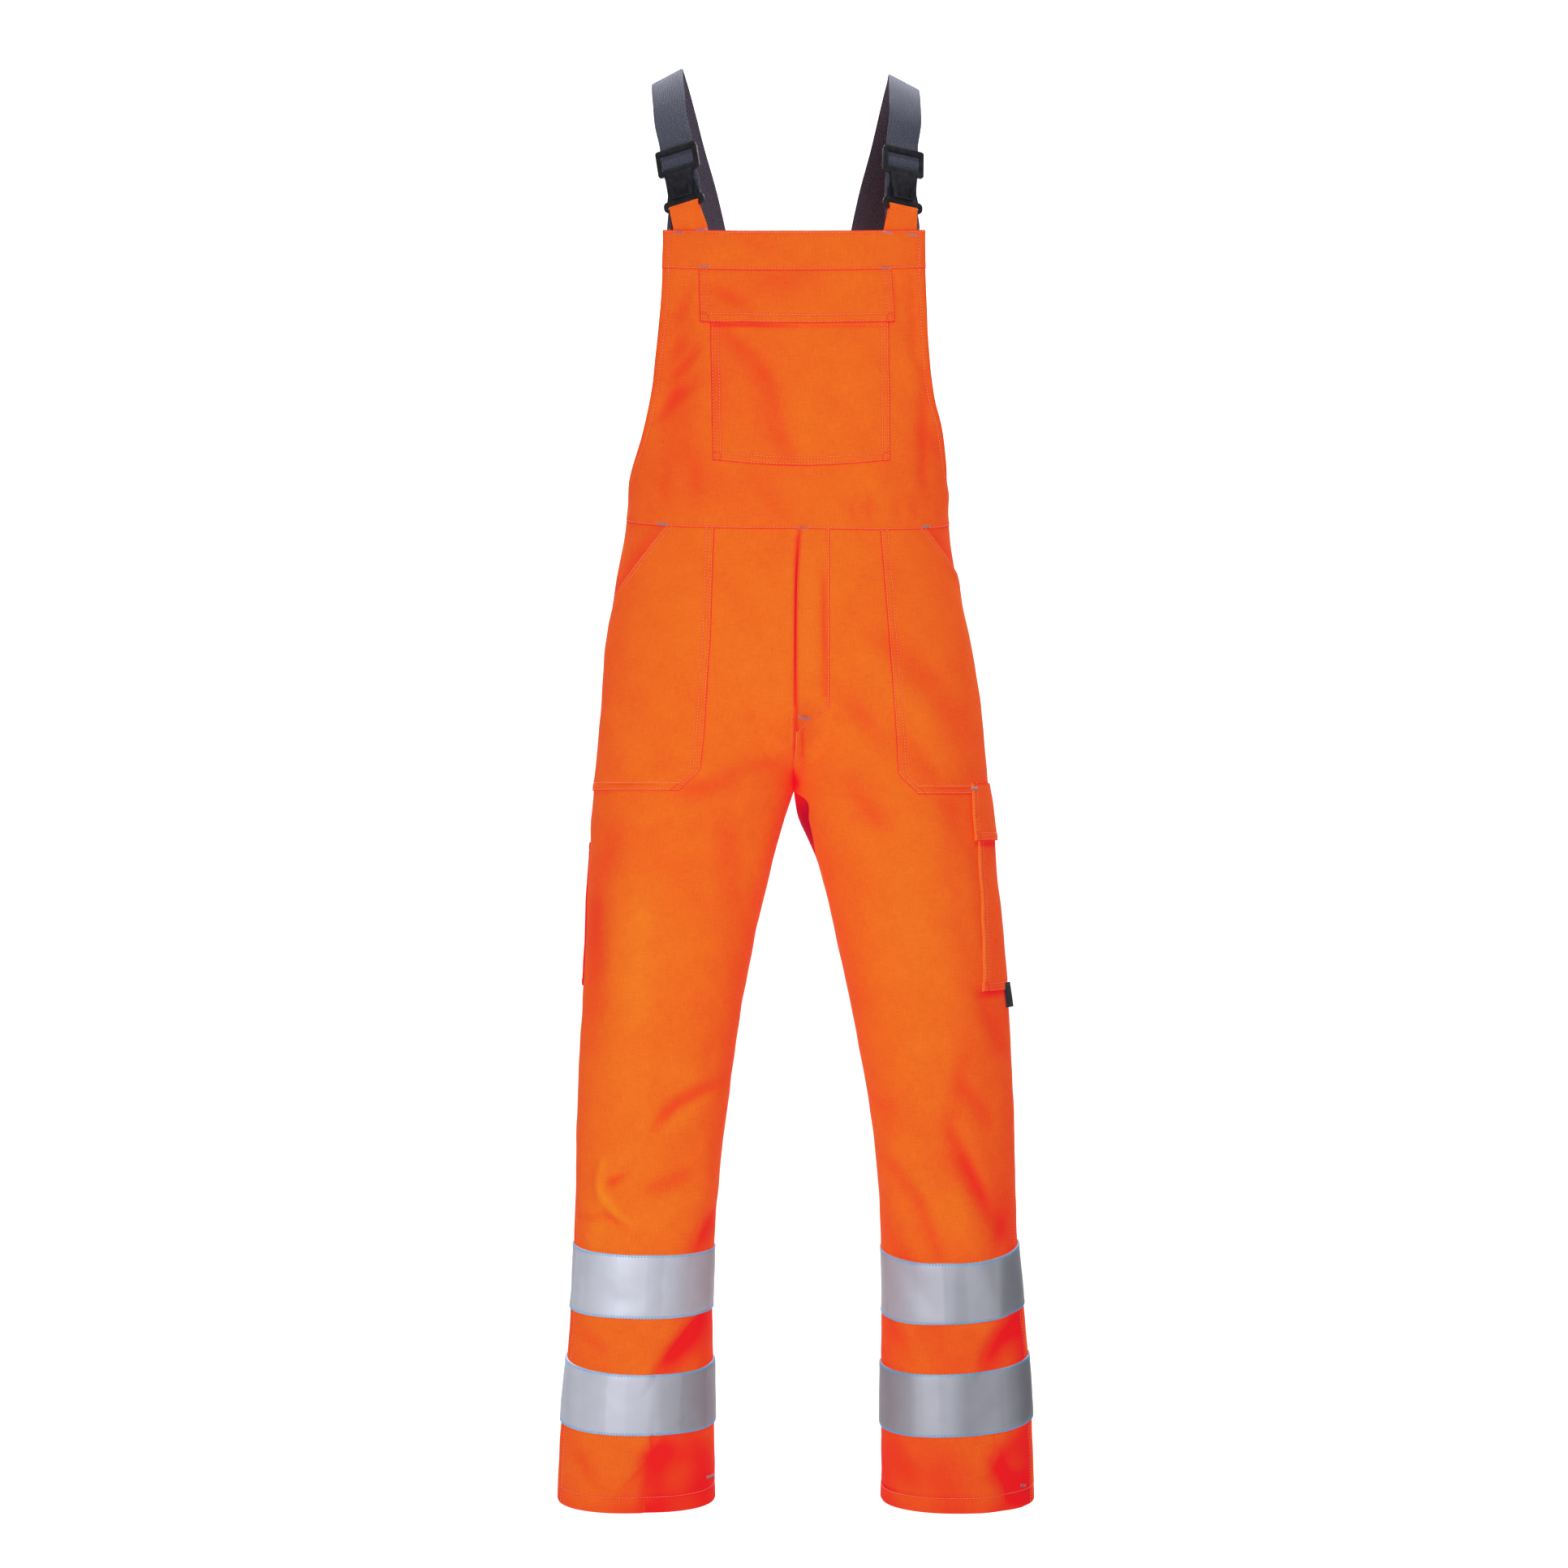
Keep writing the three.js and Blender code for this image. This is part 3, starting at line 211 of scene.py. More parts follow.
def trunk_at(turn, z):
    """Across and depth of the trunk. The turn is 0 at the centre front, 1 at the centre back by
    the wearer's left side, and -1 at the centre back by the right side."""
    angle = np.abs(turn) * np.pi
    front = np.cos(angle) >= 0
    centre = np.where(front, curve(TRUNK, "front_x", z), curve(TRUNK, "back_x", z))
    side = np.where(np.asarray(turn) < 0, curve(TRUNK, "right", z), curve(TRUNK, "left", z))
    depth = np.where(front, curve(TRUNK, "front", z), curve(TRUNK, "back", z))
    return centre + (side - centre) * bulge(np.sin(angle)), -depth * bulge(np.cos(angle))


def leg_at(side, turn, z):
    """The same for one leg. The turn is 0 at the inseam and a half at the outer side."""
    angle = 2 * np.pi * turn
    high = z > CROTCH
    inner = curve(LEGS, side + "_in", z)
    outer = np.where(high, curve(TRUNK, side, z), curve(LEGS, side + "_out", z))
    front = np.where(high, curve(TRUNK, "front", z), curve(LEGS, "front", z))
    back = np.where(high, curve(TRUNK, "back", z), curve(LEGS, "back", z))
    axis = (back - front) / 2
    reach = np.where(np.sin(angle) >= 0, front + axis, back - axis)
    across = (inner + outer) / 2 + (inner - outer) / 2 * bulge(np.cos(angle))
    return across, axis - reach * bulge(np.sin(angle))


def fork_share(turn, z):
    """How far the trunk has given way to the two legs."""
    edge = np.clip(1 - np.abs(turn - 1), 0, 1)
    down = np.clip((FORK_TOP - z) / (FORK_TOP - CROTCH), 0, 1)
    outer = smooth((FORK_TOP + 70 - z) / (FORK_TOP + 70 - CROTCH))
    return mix(smooth(down) ** 1.5, outer, smooth(edge / 0.3))


# %% [markdown]
# ## Creases
#
# Twill that is worn shows soft troughs and ridges: drag lines from the crotch and the hips, a break at
# the knees, bends above and between the stiff tapes, and puckers over the waist seam. A cloth
# simulation would find creases of its own, but these have to lie where this garment shows them, so
# they are placed one by one. A row gives the width and the depth in millimetres, how wide the slope on
# its left hand is next to the other, and the places that the crease runs through, across and up. A
# positive depth is a ridge.

# %% Crease table
FRONT_CREASES = [
    (16, -2, 1, (-66, -800), (-60, -930)),  # right inner thigh
    (12, -3, 1, (-118, -794), (-60, -780)),  # drags from the crotch
    (9, -2.2, 1, (-57, -769), (-3, -760)),
    (4, -1.6, 1, (37, -540), (38, -600), (38, -690)),  # inside the fly's stitches
    (9, 1.4, 1, (23, -530), (24, -690)),
    (13, -2, 1, (118, -728), (178, -808)),  # left hip to the side
    (13, -2.4, 1, (178, -808), (206, -880)),
    (14, -3, 1, (62, -784), (105, -832)),
    (16, -2.4, 1, (112, -632), (154, -677), (190, -735)),  # left hip
    (15, 2.2, 1, (92, -650), (140, -705), (172, -765)),
    (12, -2, 1, (60, -688), (99, -735)),
    (14, -4, 1, (-208, -920), (-216, -1080)),  # right outer thigh
    (15, -4, 1, (-190, -830), (-210, -900), (-222, -990)),
    (18, 2.5, 1, (-158, -900), (-168, -1040)),
    (8, -0.6, 1, (174, -862), (190, -930), (199, -1000)),  # beside the thigh pocket
    (22, 1.6, 1, (130, -500), (150, -580), (190, -690)),  # fuller parts
    (38, 1.5, 1, (118, -840), (150, -960), (150, -1120)),
    (11, 1.8, 1, (194, -815), (202, -960)),
    (14, 3.2, 1, (-12, -806), (-38, -900)),
    (36, 1.4, 1, (-190, -960), (-180, -1340)),
    (14, 2.2, 1, (-86, -1170), (-94, -1290)),
    (9, 1.6, 1, (230, -1090), (234, -1200)),
    (45, -1, 1, (-130, -815), (-120, -900)),
    (13, -1.6, 1, (-84, -1200), (-138, -1238)),  # right knee and shin
    (14, 3, 1, (-92, -1225), (-140, -1262)),
    (10, -5, 0.6, (-73, -1113), (-95, -1121), (-118, -1132), (-134, -1146), (-143, -1160)),
    (12, 3, 1, (-72, -1128), (-100, -1140), (-122, -1156)),
    (12, 2, 1, (-86, -1095), (-120, -1108)),
    (8, -2, 1, (-86, -1062), (-87, -1090)),
    (14, 3, 1, (-206, -1240), (-220, -1300)),
    (12, -4, 1, (-220, -1345), (-170, -1348)),
    (6, 6, 1, (-203, -1198), (-207, -1222), (-202, -1236), (-187, -1253), (-170, -1269)),
    (5, -3.4, 1, (-199, -1226), (-184, -1214)),
    (8, -2, 1, (-190, -1228), (-170, -1246)),
    (7, -4.4, 0.5, (-168, -1277), (-184, -1264), (-202, -1256), (-226, -1262)),
    (6, -2.8, 0.6, (-171, -1206), (-184, -1215), (-199, -1219)),
    (9, -2.6, 1, (-116, -1210), (-158, -1231)),
    (9, 2, 1, (-110, -1228), (-150, -1247)),
    (13, -3.4, 1, (-94, -1330), (-112, -1372)),
    (17, -4, 0.5, (-104, -1294), (-94, -1270), (-82, -1250)),
    (14, -4, 1, (104, -1272), (160, -1368)),  # left shin
    (15, 4, 1, (182, -1240), (224, -1350)),
    (28, -3.6, 0.5, (233, -1278), (220, -1247), (200, -1215), (183, -1186)),
    (10, -3, 0.7, (100, -1186), (141, -1237), (166, -1298)),
    (12, 2, 1, (118, -1180), (160, -1235), (186, -1300)),
    (13, -2, 0.7, (199, -1066), (187, -1107), (176, -1164)),
    (9, -2, 0.6, (176, -1164), (191, -1189), (207, -1225), (219, -1258)),
    (11, 3, 1, (192, -1160), (212, -1204), (228, -1240)),
    (8, -3, 1, (235, -1256), (229, -1292)),
    (9, -2.5, 1, (209, -1008), (228, -1060), (239, -1096)),
    (9, -2, 1, (89, -1127), (110, -1142)),
    (11, -2.6, 1, (188, -1108), (219, -1152)),
    (13, -3, 1, (-86, -1440), (-146, -1482)),  # between the tapes
    (13, -3, 1, (256, -1438), (212, -1480)),
    (24, -7, 0.3, (-143, -1426), (-124, -1400), (-104, -1378), (-84, -1357)),
    (9, -2.5, 1, (-231, -1386), (-202, -1402)),
    (19, -6, 0.4, (212, -1416), (224, -1394), (237, -1378), (250, -1360)),
    (9, -2.6, 1, (104, -1362), (131, -1410)),
    (16, -3, 1, (-96, -1560), (-176, -1585)),  # at the hems
    (15, -4, 1, (250, -1550), (228, -1590)),
    (9, -2.2, 1, (-238, -1510), (-210, -1553)),
    (32, -6.5, 0.3, (-157, -1568), (-153, -1520), (-130, -1494)),
    (21, -5, 0.5, (247, -1564), (230, -1545), (227, -1526), (253, -1496)),
    (12, -2.4, 1, (118, -1500), (138, -1560)),
    (9, -1.4, 1, (144, -345), (148, -470)),  # bib, left side
    (7, -1.8, 0.6, (134, -238), (137, -320), (149, -338), (149, -447), (153, -482)),
    (7, -1.6, 1, (159, -404), (167, -432)),
    (10, -3, 0.7, (-100, -352), (-122, -366), (-144, -390)),  # bib, right side
    (7, -2.4, 0.7, (-96, -312), (-112, -332), (-124, -344)),
    (8, -2.2, 1, (-107, -246), (-123, -290)),
    (9, -2.2, 1, (-113, -300), (-133, -328)),
    (12, 2, 1, (-128, -300), (-150, -392)),
    (14, -1.6, 1, (-66, -300), (-4, -430)),  # chest pocket
    (11, -2.2, 1, (-78, -292), (-35, -325), (-20, -356), (0, -426)),
    (15, 1.6, 1, (-50, -292), (-8, -330), (20, -400)),
    (14, -1.8, 1, (-38, -448), (-5, -503)),
    (9, -1.5, 1, (-85, -245), (-44, -271)),  # flap and top band
    (10, -1.2, 1, (-36, -242), (18, -242)),
    (10, -1.3, 1, (-50, -197), (-12, -213)),
    (6, -1.6, 1, (70, -478), (71, -502)),  # puckers over the waist seam
    (6, -1.8, 1, (88, -474), (87, -502)),
    (6, -1.6, 1, (118, -478), (119, -502)),
    (6, -1.8, 1, (136, -474), (137, -502)),
    (8, -1.4, 1, (-136, -436), (-135, -486)),
    (8, -1.4, 1, (-102, -440), (-102, -474)),
    (6, -1.4, 1, (-160, -482), (-147, -492)),
]
BACK_CREASES = [
    (18, -5, 1, (-60, -800), (-150, -850)),  # under the seat
    (18, -5, 1, (66, -804), (160, -860)),
    (18, -4, 1, (-70, -838), (-150, -905)),
    (18, -4, 1, (80, -846), (158, -920)),
    (10, -2.5, 0.6, (-40, -770), (-112, -792)),
    (10, -2.5, 0.6, (48, -772), (118, -800)),
    (12, -2.5, 1, (-110, -600), (-178, -655)),  # seat
    (12, -2.5, 1, (112, -606), (180, -664)),
    (9, -1.8, 1, (-70, -500), (-74, -540)),
    (9, -1.8, 1, (64, -498), (70, -544)),
    (15, -4, 1, (-80, -1120), (-150, -1090)),  # behind the knees
    (15, -4, 1, (96, -1110), (170, -1085)),
    (11, -3, 0.6, (-92, -1150), (-150, -1128), (-205, -1138)),
    (11, -3, 0.6, (110, -1140), (168, -1122), (222, -1134)),
    (15, -4, 1, (-225, -1290), (-140, -1240)),  # calves
    (15, -4, 1, (240, -1300), (150, -1245)),
    (9, -3, 0.6, (-100, -1262), (-150, -1284)),
    (9, -3, 0.6, (120, -1258), (176, -1286)),
    (10, -4, 0.6, (-98, -1372), (-160, -1410)),
    (10, -4, 0.6, (250, -1368), (190, -1412)),
    (14, -3.5, 1, (-110, -1500), (-160, -1562)),
    (14, -3.5, 1, (238, -1500), (196, -1560)),
    (20, -3, 1, (-40, -330), (-100, -450)),  # back panel
    (20, -3, 1, (44, -330), (102, -450)),
    (11, -2, 1, (-86, -300), (-40, -352)),
    (11, -2, 1, (84, -296), (36, -350)),
    (7, -1.6, 1, (-60, -470), (-62, -500)),
    (7, -1.6, 1, (30, -466), (31, -500)),
]
# Slow waves, too shallow to be called creases, that no worn cloth is without.
WAVES, WAVE_DEPTH, WAVE_LENGTH = 14, 0.42, 95
waves = np.random.default_rng(7)
WAVE_SLOPES = waves.normal(size=(WAVES, 3)) * (2 * np.pi / WAVE_LENGTH)
WAVE_STARTS = waves.uniform(0, 2 * np.pi, WAVES)


def crease_depth(rows, x, z):
    """How far the creases of a table move the cloth out, at points of the front view. With a table of
    shades it gives the share of painted shade instead.
    """
    moved = np.zeros(x.shape)
    for width, depth, steep, *places in rows:
        places = np.array(places, float)
        low, high = places.min(0) - 3 * width, places.max(0) + 3 * width
        near = (x > low[0]) & (x < high[0]) & (z > low[1]) & (z < high[1])
        if not near.any():
            continue
        px, pz = x[near], z[near]
        best, share = np.full(px.shape, 1e9), np.zeros(px.shape)
        for i, ((ax, az), (bx, bz)) in enumerate(zip(places[:-1], places[1:])):
            dx, dz = bx - ax, bz - az
            along = np.clip(((px - ax) * dx + (pz - az) * dz) / (dx * dx + dz * dz), 0, 1)
            away_x, away_z = px - ax - along * dx, pz - az - along * dz
            away = np.hypot(away_x, away_z)
            leans_left = dx * away_z - dz * away_x > 0
            away = np.where(leans_left, away / steep, away)
            share = np.where(away < best, (i + along) / (len(places) - 1), share)
            best = np.minimum(best, away)
        taper = 1 - 0.5 * (2 * share - 1) ** 2
        moved[near] += depth * taper * np.exp(-((best / width) ** 2))
    return moved


def relief(across, depth, z, facing):
    """All that moves the cloth out along its normal. Facing is -1 in front and +1 behind."""
    front, back = (crease_depth(rows, across, z) for rows in (FRONT_CREASES, BACK_CREASES))
    creases = np.where(facing < 0, front, back)
    places = np.stack([across, depth, z], -1)
    ripples = np.sin(places @ WAVE_SLOPES.T + WAVE_STARTS).sum(-1) * WAVE_DEPTH / WAVES**0.5
    return creases * np.sqrt(np.abs(facing)) + ripples


def moved_out(across, depth, z, out_x, out_y):
    moved = relief(across, depth, z, out_y)
    return np.stack([across + out_x * moved, depth + out_y * moved, z], -1)


# Painted shade: where an edge or a fold lies over the front of a piece and keeps the light off it, and
# where a part of a piece is turned from the light, its colour is painted darker. Rows like the
# creases', with a share of painted shade in place of the depth. Over 1 the cloth's painted glow is
# dimmed as well.
SHADES = {
    "bib_front": [
        (24, 0.36, 1, (-116, -292), (-124, -350), (-112, -430)),  # its right side
        (34, 0.2, 1, (-132, -450), (-70, -470)),
    ],
    "front_leg_right": [
        (26, 0.95, 1, (-96, -1500), (-86, -1590)),  # the inner side of the hem
        (14, 0.4, 1, (-86, -1370), (-90, -1450)),
        (14, 0.7, 0.25, (-102, -1298), (-93, -1274), (-82, -1256)),  # under the folds
        (22, 0.4, 0.25, (-143, -1426), (-124, -1400), (-104, -1378), (-84, -1357)),
        (30, 0.25, 0.4, (-140, -1568), (-138, -1520), (-122, -1494)),
        (34, 0.3, 1, (-210, -1570), (-160, -1590)),
        (2.6, 1, 1, (8.5, -518), (8, -610), (8, -698)),  # under the fly's fold
        (2, 0.7, 1, (8, -716), (9, -772)),
        (13, 0.65, 1, (-142, -508), (-190, -582), (-200, -604)),  # in the pocket's mouth
    ],
    "front_leg_left": [
        (13, 0.65, 1, (156, -510), (190, -566), (198, -590)),
        (2, 0.7, 1, (14.5, -716), (15.5, -772)),
        (4, 1.1, 1, (8, -777), (9, -790)),
        (5, 0.9, 1, (208, -1014), (240, -1012)),  # under the thigh pocket
        (24, 0.9, 1, (98, -1490), (104, -1590)),  # the hem
        (34, 0.65, 1, (150, -1510), (190, -1590)),
        (17, 0.9, 1, (268, -1490), (262, -1590)),
        (18, 0.6, 1, (98, -1370), (100, -1450)),
        (15, 0.9, 1, (258, -1370), (264, -1450)),
        (30, 0.35, 1, (150, -1390), (196, -1430)),
        (14, 0.3, 1, (246, -1290), (240, -1330)),
        (20, 0.2, 0.4, (233, -1278), (220, -1247), (200, -1215), (183, -1186)),  # folds
        (18, 0.4, 0.25, (216, -1418), (228, -1398), (241, -1382), (254, -1362)),
        (20, 0.4, 0.25, (251, -1564), (234, -1545), (231, -1526), (257, -1496)),
        (30, 0.35, 1, (170, -1300), (215, -1310)),
    ],
    "bib_pocket": [
        (2.4, 0.9, 1, (-96, -289), (8, -292.5)),
        (2.2, 0.4, 1, (8, -292.5), (112, -291)),
        (22, 0.35, 1, (-84, -310), (-84, -410)),
        (24, 0.2, 1, (-40, -300), (0, -370)),
    ],
    "bib_pocket_flap": [(20, 0.25, 1, (-80, -262), (20, -240))],
    "thigh_pocket": [(3, 0.9, 1, (198, -851), (240, -850))],
    "back_leg_left": [(30, 2, 1, (10, -796), (34, -866))],  # high inside the leg
    "fly": [(3, 0.5, 1, (38, -560), (40, -690))],
}
print(len(FRONT_CREASES) + len(BACK_CREASES), "creases")


# %% Points and normals on the cloth
def torso_point(turn, z):
    """A point of the bib or the back panel."""
    turn, z = np.broadcast_arrays(np.asarray(turn, float), np.asarray(z, float))
    (ax, ay), (bx, by) = trunk_at(turn - 0.01, z), trunk_at(turn + 0.01, z)
    size = np.hypot(bx - ax, by - ay)
    across, depth = trunk_at(turn, z)
    return moved_out(across, depth, z, (by - ay) / size, -(bx - ax) / size)


def trousers_point(side, turn, level):
    """A point of one side of the trousers. The turn is 0 at the centre front or the inseam, 1 at
    the outer side, and 2 at the centre back or the inseam again."""
    turn, level = np.broadcast_arrays(np.asarray(turn, float), np.asarray(level, float))
    joined = level > CROTCH
    turn = np.where(joined, np.clip(turn, 0, 2), np.mod(turn, 2))
    share = np.where(joined, fork_share(turn, level), 1)
    hand = SIDES[side]

    def section(t):
        t = np.where(joined, np.clip(t, 0, 2), t)
        half = np.clip(np.where(t <= 1, t, 2 - t), 0, 1) ** 1.5
        trunk = trunk_at(hand * np.where(t <= 1, half, 2 - half) / 2, np.maximum(level, CROTCH))
        leg = leg_at(side, t / 2, level)
        return mix(trunk[0], leg[0], share), mix(trunk[1], leg[1], share)

    across, depth = section(turn)
    (ax, ay), (bx, by) = section(turn - 0.02), section(turn + 0.02)
    size = np.hypot(bx - ax, by - ay)
    half = np.where(turn <= 1, turn, 2 - turn)
    in_trunk = np.abs(np.cos(np.where(turn <= 1, half**1.5, 2 - half**1.5) / 2 * np.pi))
    drop = np.where(turn <= 1, -curve(LINES, side, level), curve(LINES, "rise", level))
    tip = curve(LINES, side + "_tip", level) * np.cos(half * np.pi) * share
    low = curve(LINES, side + "_low", level) * np.sqrt(1 - np.minimum(in_trunk, 1) ** 2)
    z = level + drop * mix(in_trunk, np.sin(half * np.pi), share) - tip - low
    apart = np.where(joined, smooth(half / 0.06), 1)  # the two sides stay sewn to each other
    return moved_out(across, depth, z, apart * hand * (by - ay) / size, -hand * (bx - ax) / size)


def surface(point_at, turn, height, hand=1):
    """Points with outward normals, from small steps round and up the cloth."""
    around = point_at(turn + TURN_STEP, height) - point_at(turn - TURN_STEP, height)
    upwards = point_at(turn, height + HEIGHT_STEP) - point_at(turn, height - HEIGHT_STEP)
    normals = np.cross(around, upwards) * hand
    normals /= np.linalg.norm(normals, axis=-1, keepdims=True) + 1e-9
    return point_at(turn, height), normals


def torso(turn, z):
    return surface(torso_point, turn, z)


def trousers(side, turn, level):
    return surface(lambda t, h: trousers_point(side, t, h), turn, level, SIDES[side])


def torso_turn(x, z, face="front"):
    """The turn at which the trunk is at x, on the front or on the back."""
    centre = curve(TRUNK, face + "_x", z)
    side = np.where(x < centre, curve(TRUNK, "right", z), curve(TRUNK, "left", z))
    share = np.clip((x - centre) / (side - centre), 0, 1)
    turn = np.arcsin(share ** (FULLNESS / 2)) / np.pi
    return np.where(x < centre, -1, 1) * (turn if face == "front" else 1 - turn)


def solve(value_at, wanted, low, high):
    """The argument between low and high at which a rising function gives the wanted value."""
    low, high = np.full(wanted.shape, float(low)), np.full(wanted.shape, float(high))
    for _ in range(30):
        middle = (low + high) / 2
        below = value_at(middle) < wanted
        low, high = np.where(below, middle, low), np.where(below, high, middle)
    return (low + high) / 2


def leg_turn(side, x, level, back=False):
    """The turn at which a leg's front or back is at x."""
    hand = SIDES[side]
    wanted = np.broadcast_to(hand * np.asarray(x, float), np.shape(level)).astype(float)
    if back:
        found = solve(lambda t: hand * trousers_point(side, 2 - t, level)[..., 0], wanted, 0, 1)
        return 2 - found
    return solve(lambda t: hand * trousers_point(side, t, level)[..., 0], wanted, 0, 1)


# %% [markdown]
# ## From a grid to a cloth shell
#
# A piece is first a grid of points with normals, with its columns spaced evenly along the cloth
# and closer together at the stitched edges. The shell gives it a wall, a rolled edge and a shallow
# groove under each row of stitches. The UV map is in metres, so a weave has the same scale on
# every piece.

# %% Grids
LINE = 1.7  # a row of stitches runs this far in from a folded edge
SINGLE, DOUBLE = (LINE,), (LINE, 8.6)  # and a second one this far in, where there are two
CLOTH, PATCH, WEBBING, TAB = 1.2, 1.1, 1.8, 1.1  # how thick each is
ON_PANEL = SEAM_GAP + PATCH
PITCH, FINE = 4.3, 2.2  # how far apart a grid's points are
SHARP = 50  # an edge that turns by more degrees than this is drawn sharp
FACES_BACK = 0.6  # how far a normal may turn backwards before the front's shades let go of it


def edge_steps(lines):
    """Distances in from an edge at which the grid needs a row, for the grooves along the lines."""
    steps = {0.0, 0.7}
    for line in lines:
        steps |= {line, line + 1.7} | ({line - 1.7} if line > 3 else set())
    return np.array(sorted(steps))


def spaced(length, head=(), tail=(), pitch=PITCH, count=None):
    """Distances along a length, with extra steps for the lines of stitches at either end."""
    first, last = edge_steps(head), edge_steps(tail)
    room = min(1, 0.45 * length / max(first[-1], last[-1]))
    first, last = first * room, last * room
    inner = length - first[-1] - last[-1]
    count = count or max(2, math.ceil(inner / pitch))
    middle = first[-1] + inner * np.arange(1, count) / count
    return np.concatenate([first, middle, length - last[::-1]])


def laid_out(at, rows, start=(), end=(), low=(), high=(), pitch=PITCH, gap=EASE):
    """A piece's grid. Its row heights are given, and at(row, share) gives points and normals at
    shares from 0 to 1 along a row. The lines are the rows of stitches along its four edges."""
    rows = np.asarray(rows, float)
    trial = np.linspace(0, 1, 121)
    points, _ = at(rows[:, None] + 0 * trial, trial + 0 * rows[:, None])
    steps = np.linalg.norm(np.diff(points, axis=1), axis=2)
    arcs = np.concatenate([np.zeros((len(rows), 1)), np.cumsum(steps, 1)], 1)
    extra = edge_steps(start)[-1] + edge_steps(end)[-1]
    count = max(2, math.ceil((arcs[:, -1].max() - extra) / pitch))
    shares, away = [], []
    for arc in arcs:
        wanted = spaced(arc[-1] - 2 * gap, start, end, count=count)
        away.append(wanted)
        shares.append(np.interp(wanted + gap, arc, trial))
    shares, away = np.array(shares), np.array(away)
    points, normals = at(rows[:, None] + 0 * shares, shares)
    return {
        "points": points,
        "normals": normals,
        "from_start": away,
        "from_end": away[:, -1:] - away,
        "lines": {"start": start, "end": end, "low": low, "high": high},
    }


def run_lengths(points):
    """Distances from the first row, down each column."""
    steps = np.linalg.norm(np.diff(points, axis=0), axis=2)
    return np.concatenate([np.zeros((1, points.shape[1])), np.cumsum(steps, 0)])


def shares_of(grid):
    """How far each row is down a grid and each column across it, from 0 to 1."""
    rows, columns = grid["points"].shape[:2]
    return np.linspace(0, 1, rows)[:, None], np.linspace(0, 1, columns)


def creased(*at_and_rows, **spacing):
    """A grid that notes how far the creases move each point, for the material, which paints the ridges
    lighter and the troughs in shade from it.
    """
    grid = laid_out(*at_and_rows, **spacing)
    points, normals = grid["points"], grid["normals"]
    grid["moved"] = relief(points[..., 0], points[..., 1], points[..., 2], normals[..., 1])
    return grid


def plain_grid(points, normals):
    """A grid with no row of stitches along its edges."""
    away = np.zeros(points.shape[:2])
    lines = dict.fromkeys(("start", "end", "low", "high"), ())
    return {"points": points, "normals": normals, "from_start": away, "from_end": away, "lines": lines}


WELT = {"raised": 0.35, "rounded": 0.45, "groove": 0.42, "groove_shade": 0.5}


def welt(away, lines):
    """How a sewn edge changes the cloth's outer face: rounded at the fold, raised beside the stitches
    and pulled in under them. The second result is how deep a painted shade the fold and the grooves
    get."""
    if not lines:
        return np.zeros(away.shape), np.zeros(away.shape)
    raised = WELT["raised"] * np.exp(-((away / (lines[-1] + 3)) ** 4))
    raised = raised - WELT["rounded"] * np.exp(-(away / 0.7))
    shaded = np.exp(-((away / 0.6) ** 2))
    for line in lines:
        beside = np.exp(-((away - line) ** 2))
        raised = raised - WELT["groove"] * beside
        shaded = shaded + WELT["groove_shade"] * beside
    return raised, shaded


# %% Meshes
def added(name, data):
    """An object of the scene with this data."""
    made = bpy.data.objects.new(name, data)
    bpy.context.scene.collection.objects.link(made)
    return made


def new_piece(name, vertices, faces, material):
    mesh = bpy.data.meshes.new(name)
    mesh.from_pydata((np.asarray(vertices) * MM).tolist(), [], faces)
    mesh.shade_smooth()
    mesh.set_sharp_from_angle(angle=math.radians(SHARP))
    mesh.materials.append(material)
    return added(name, mesh)


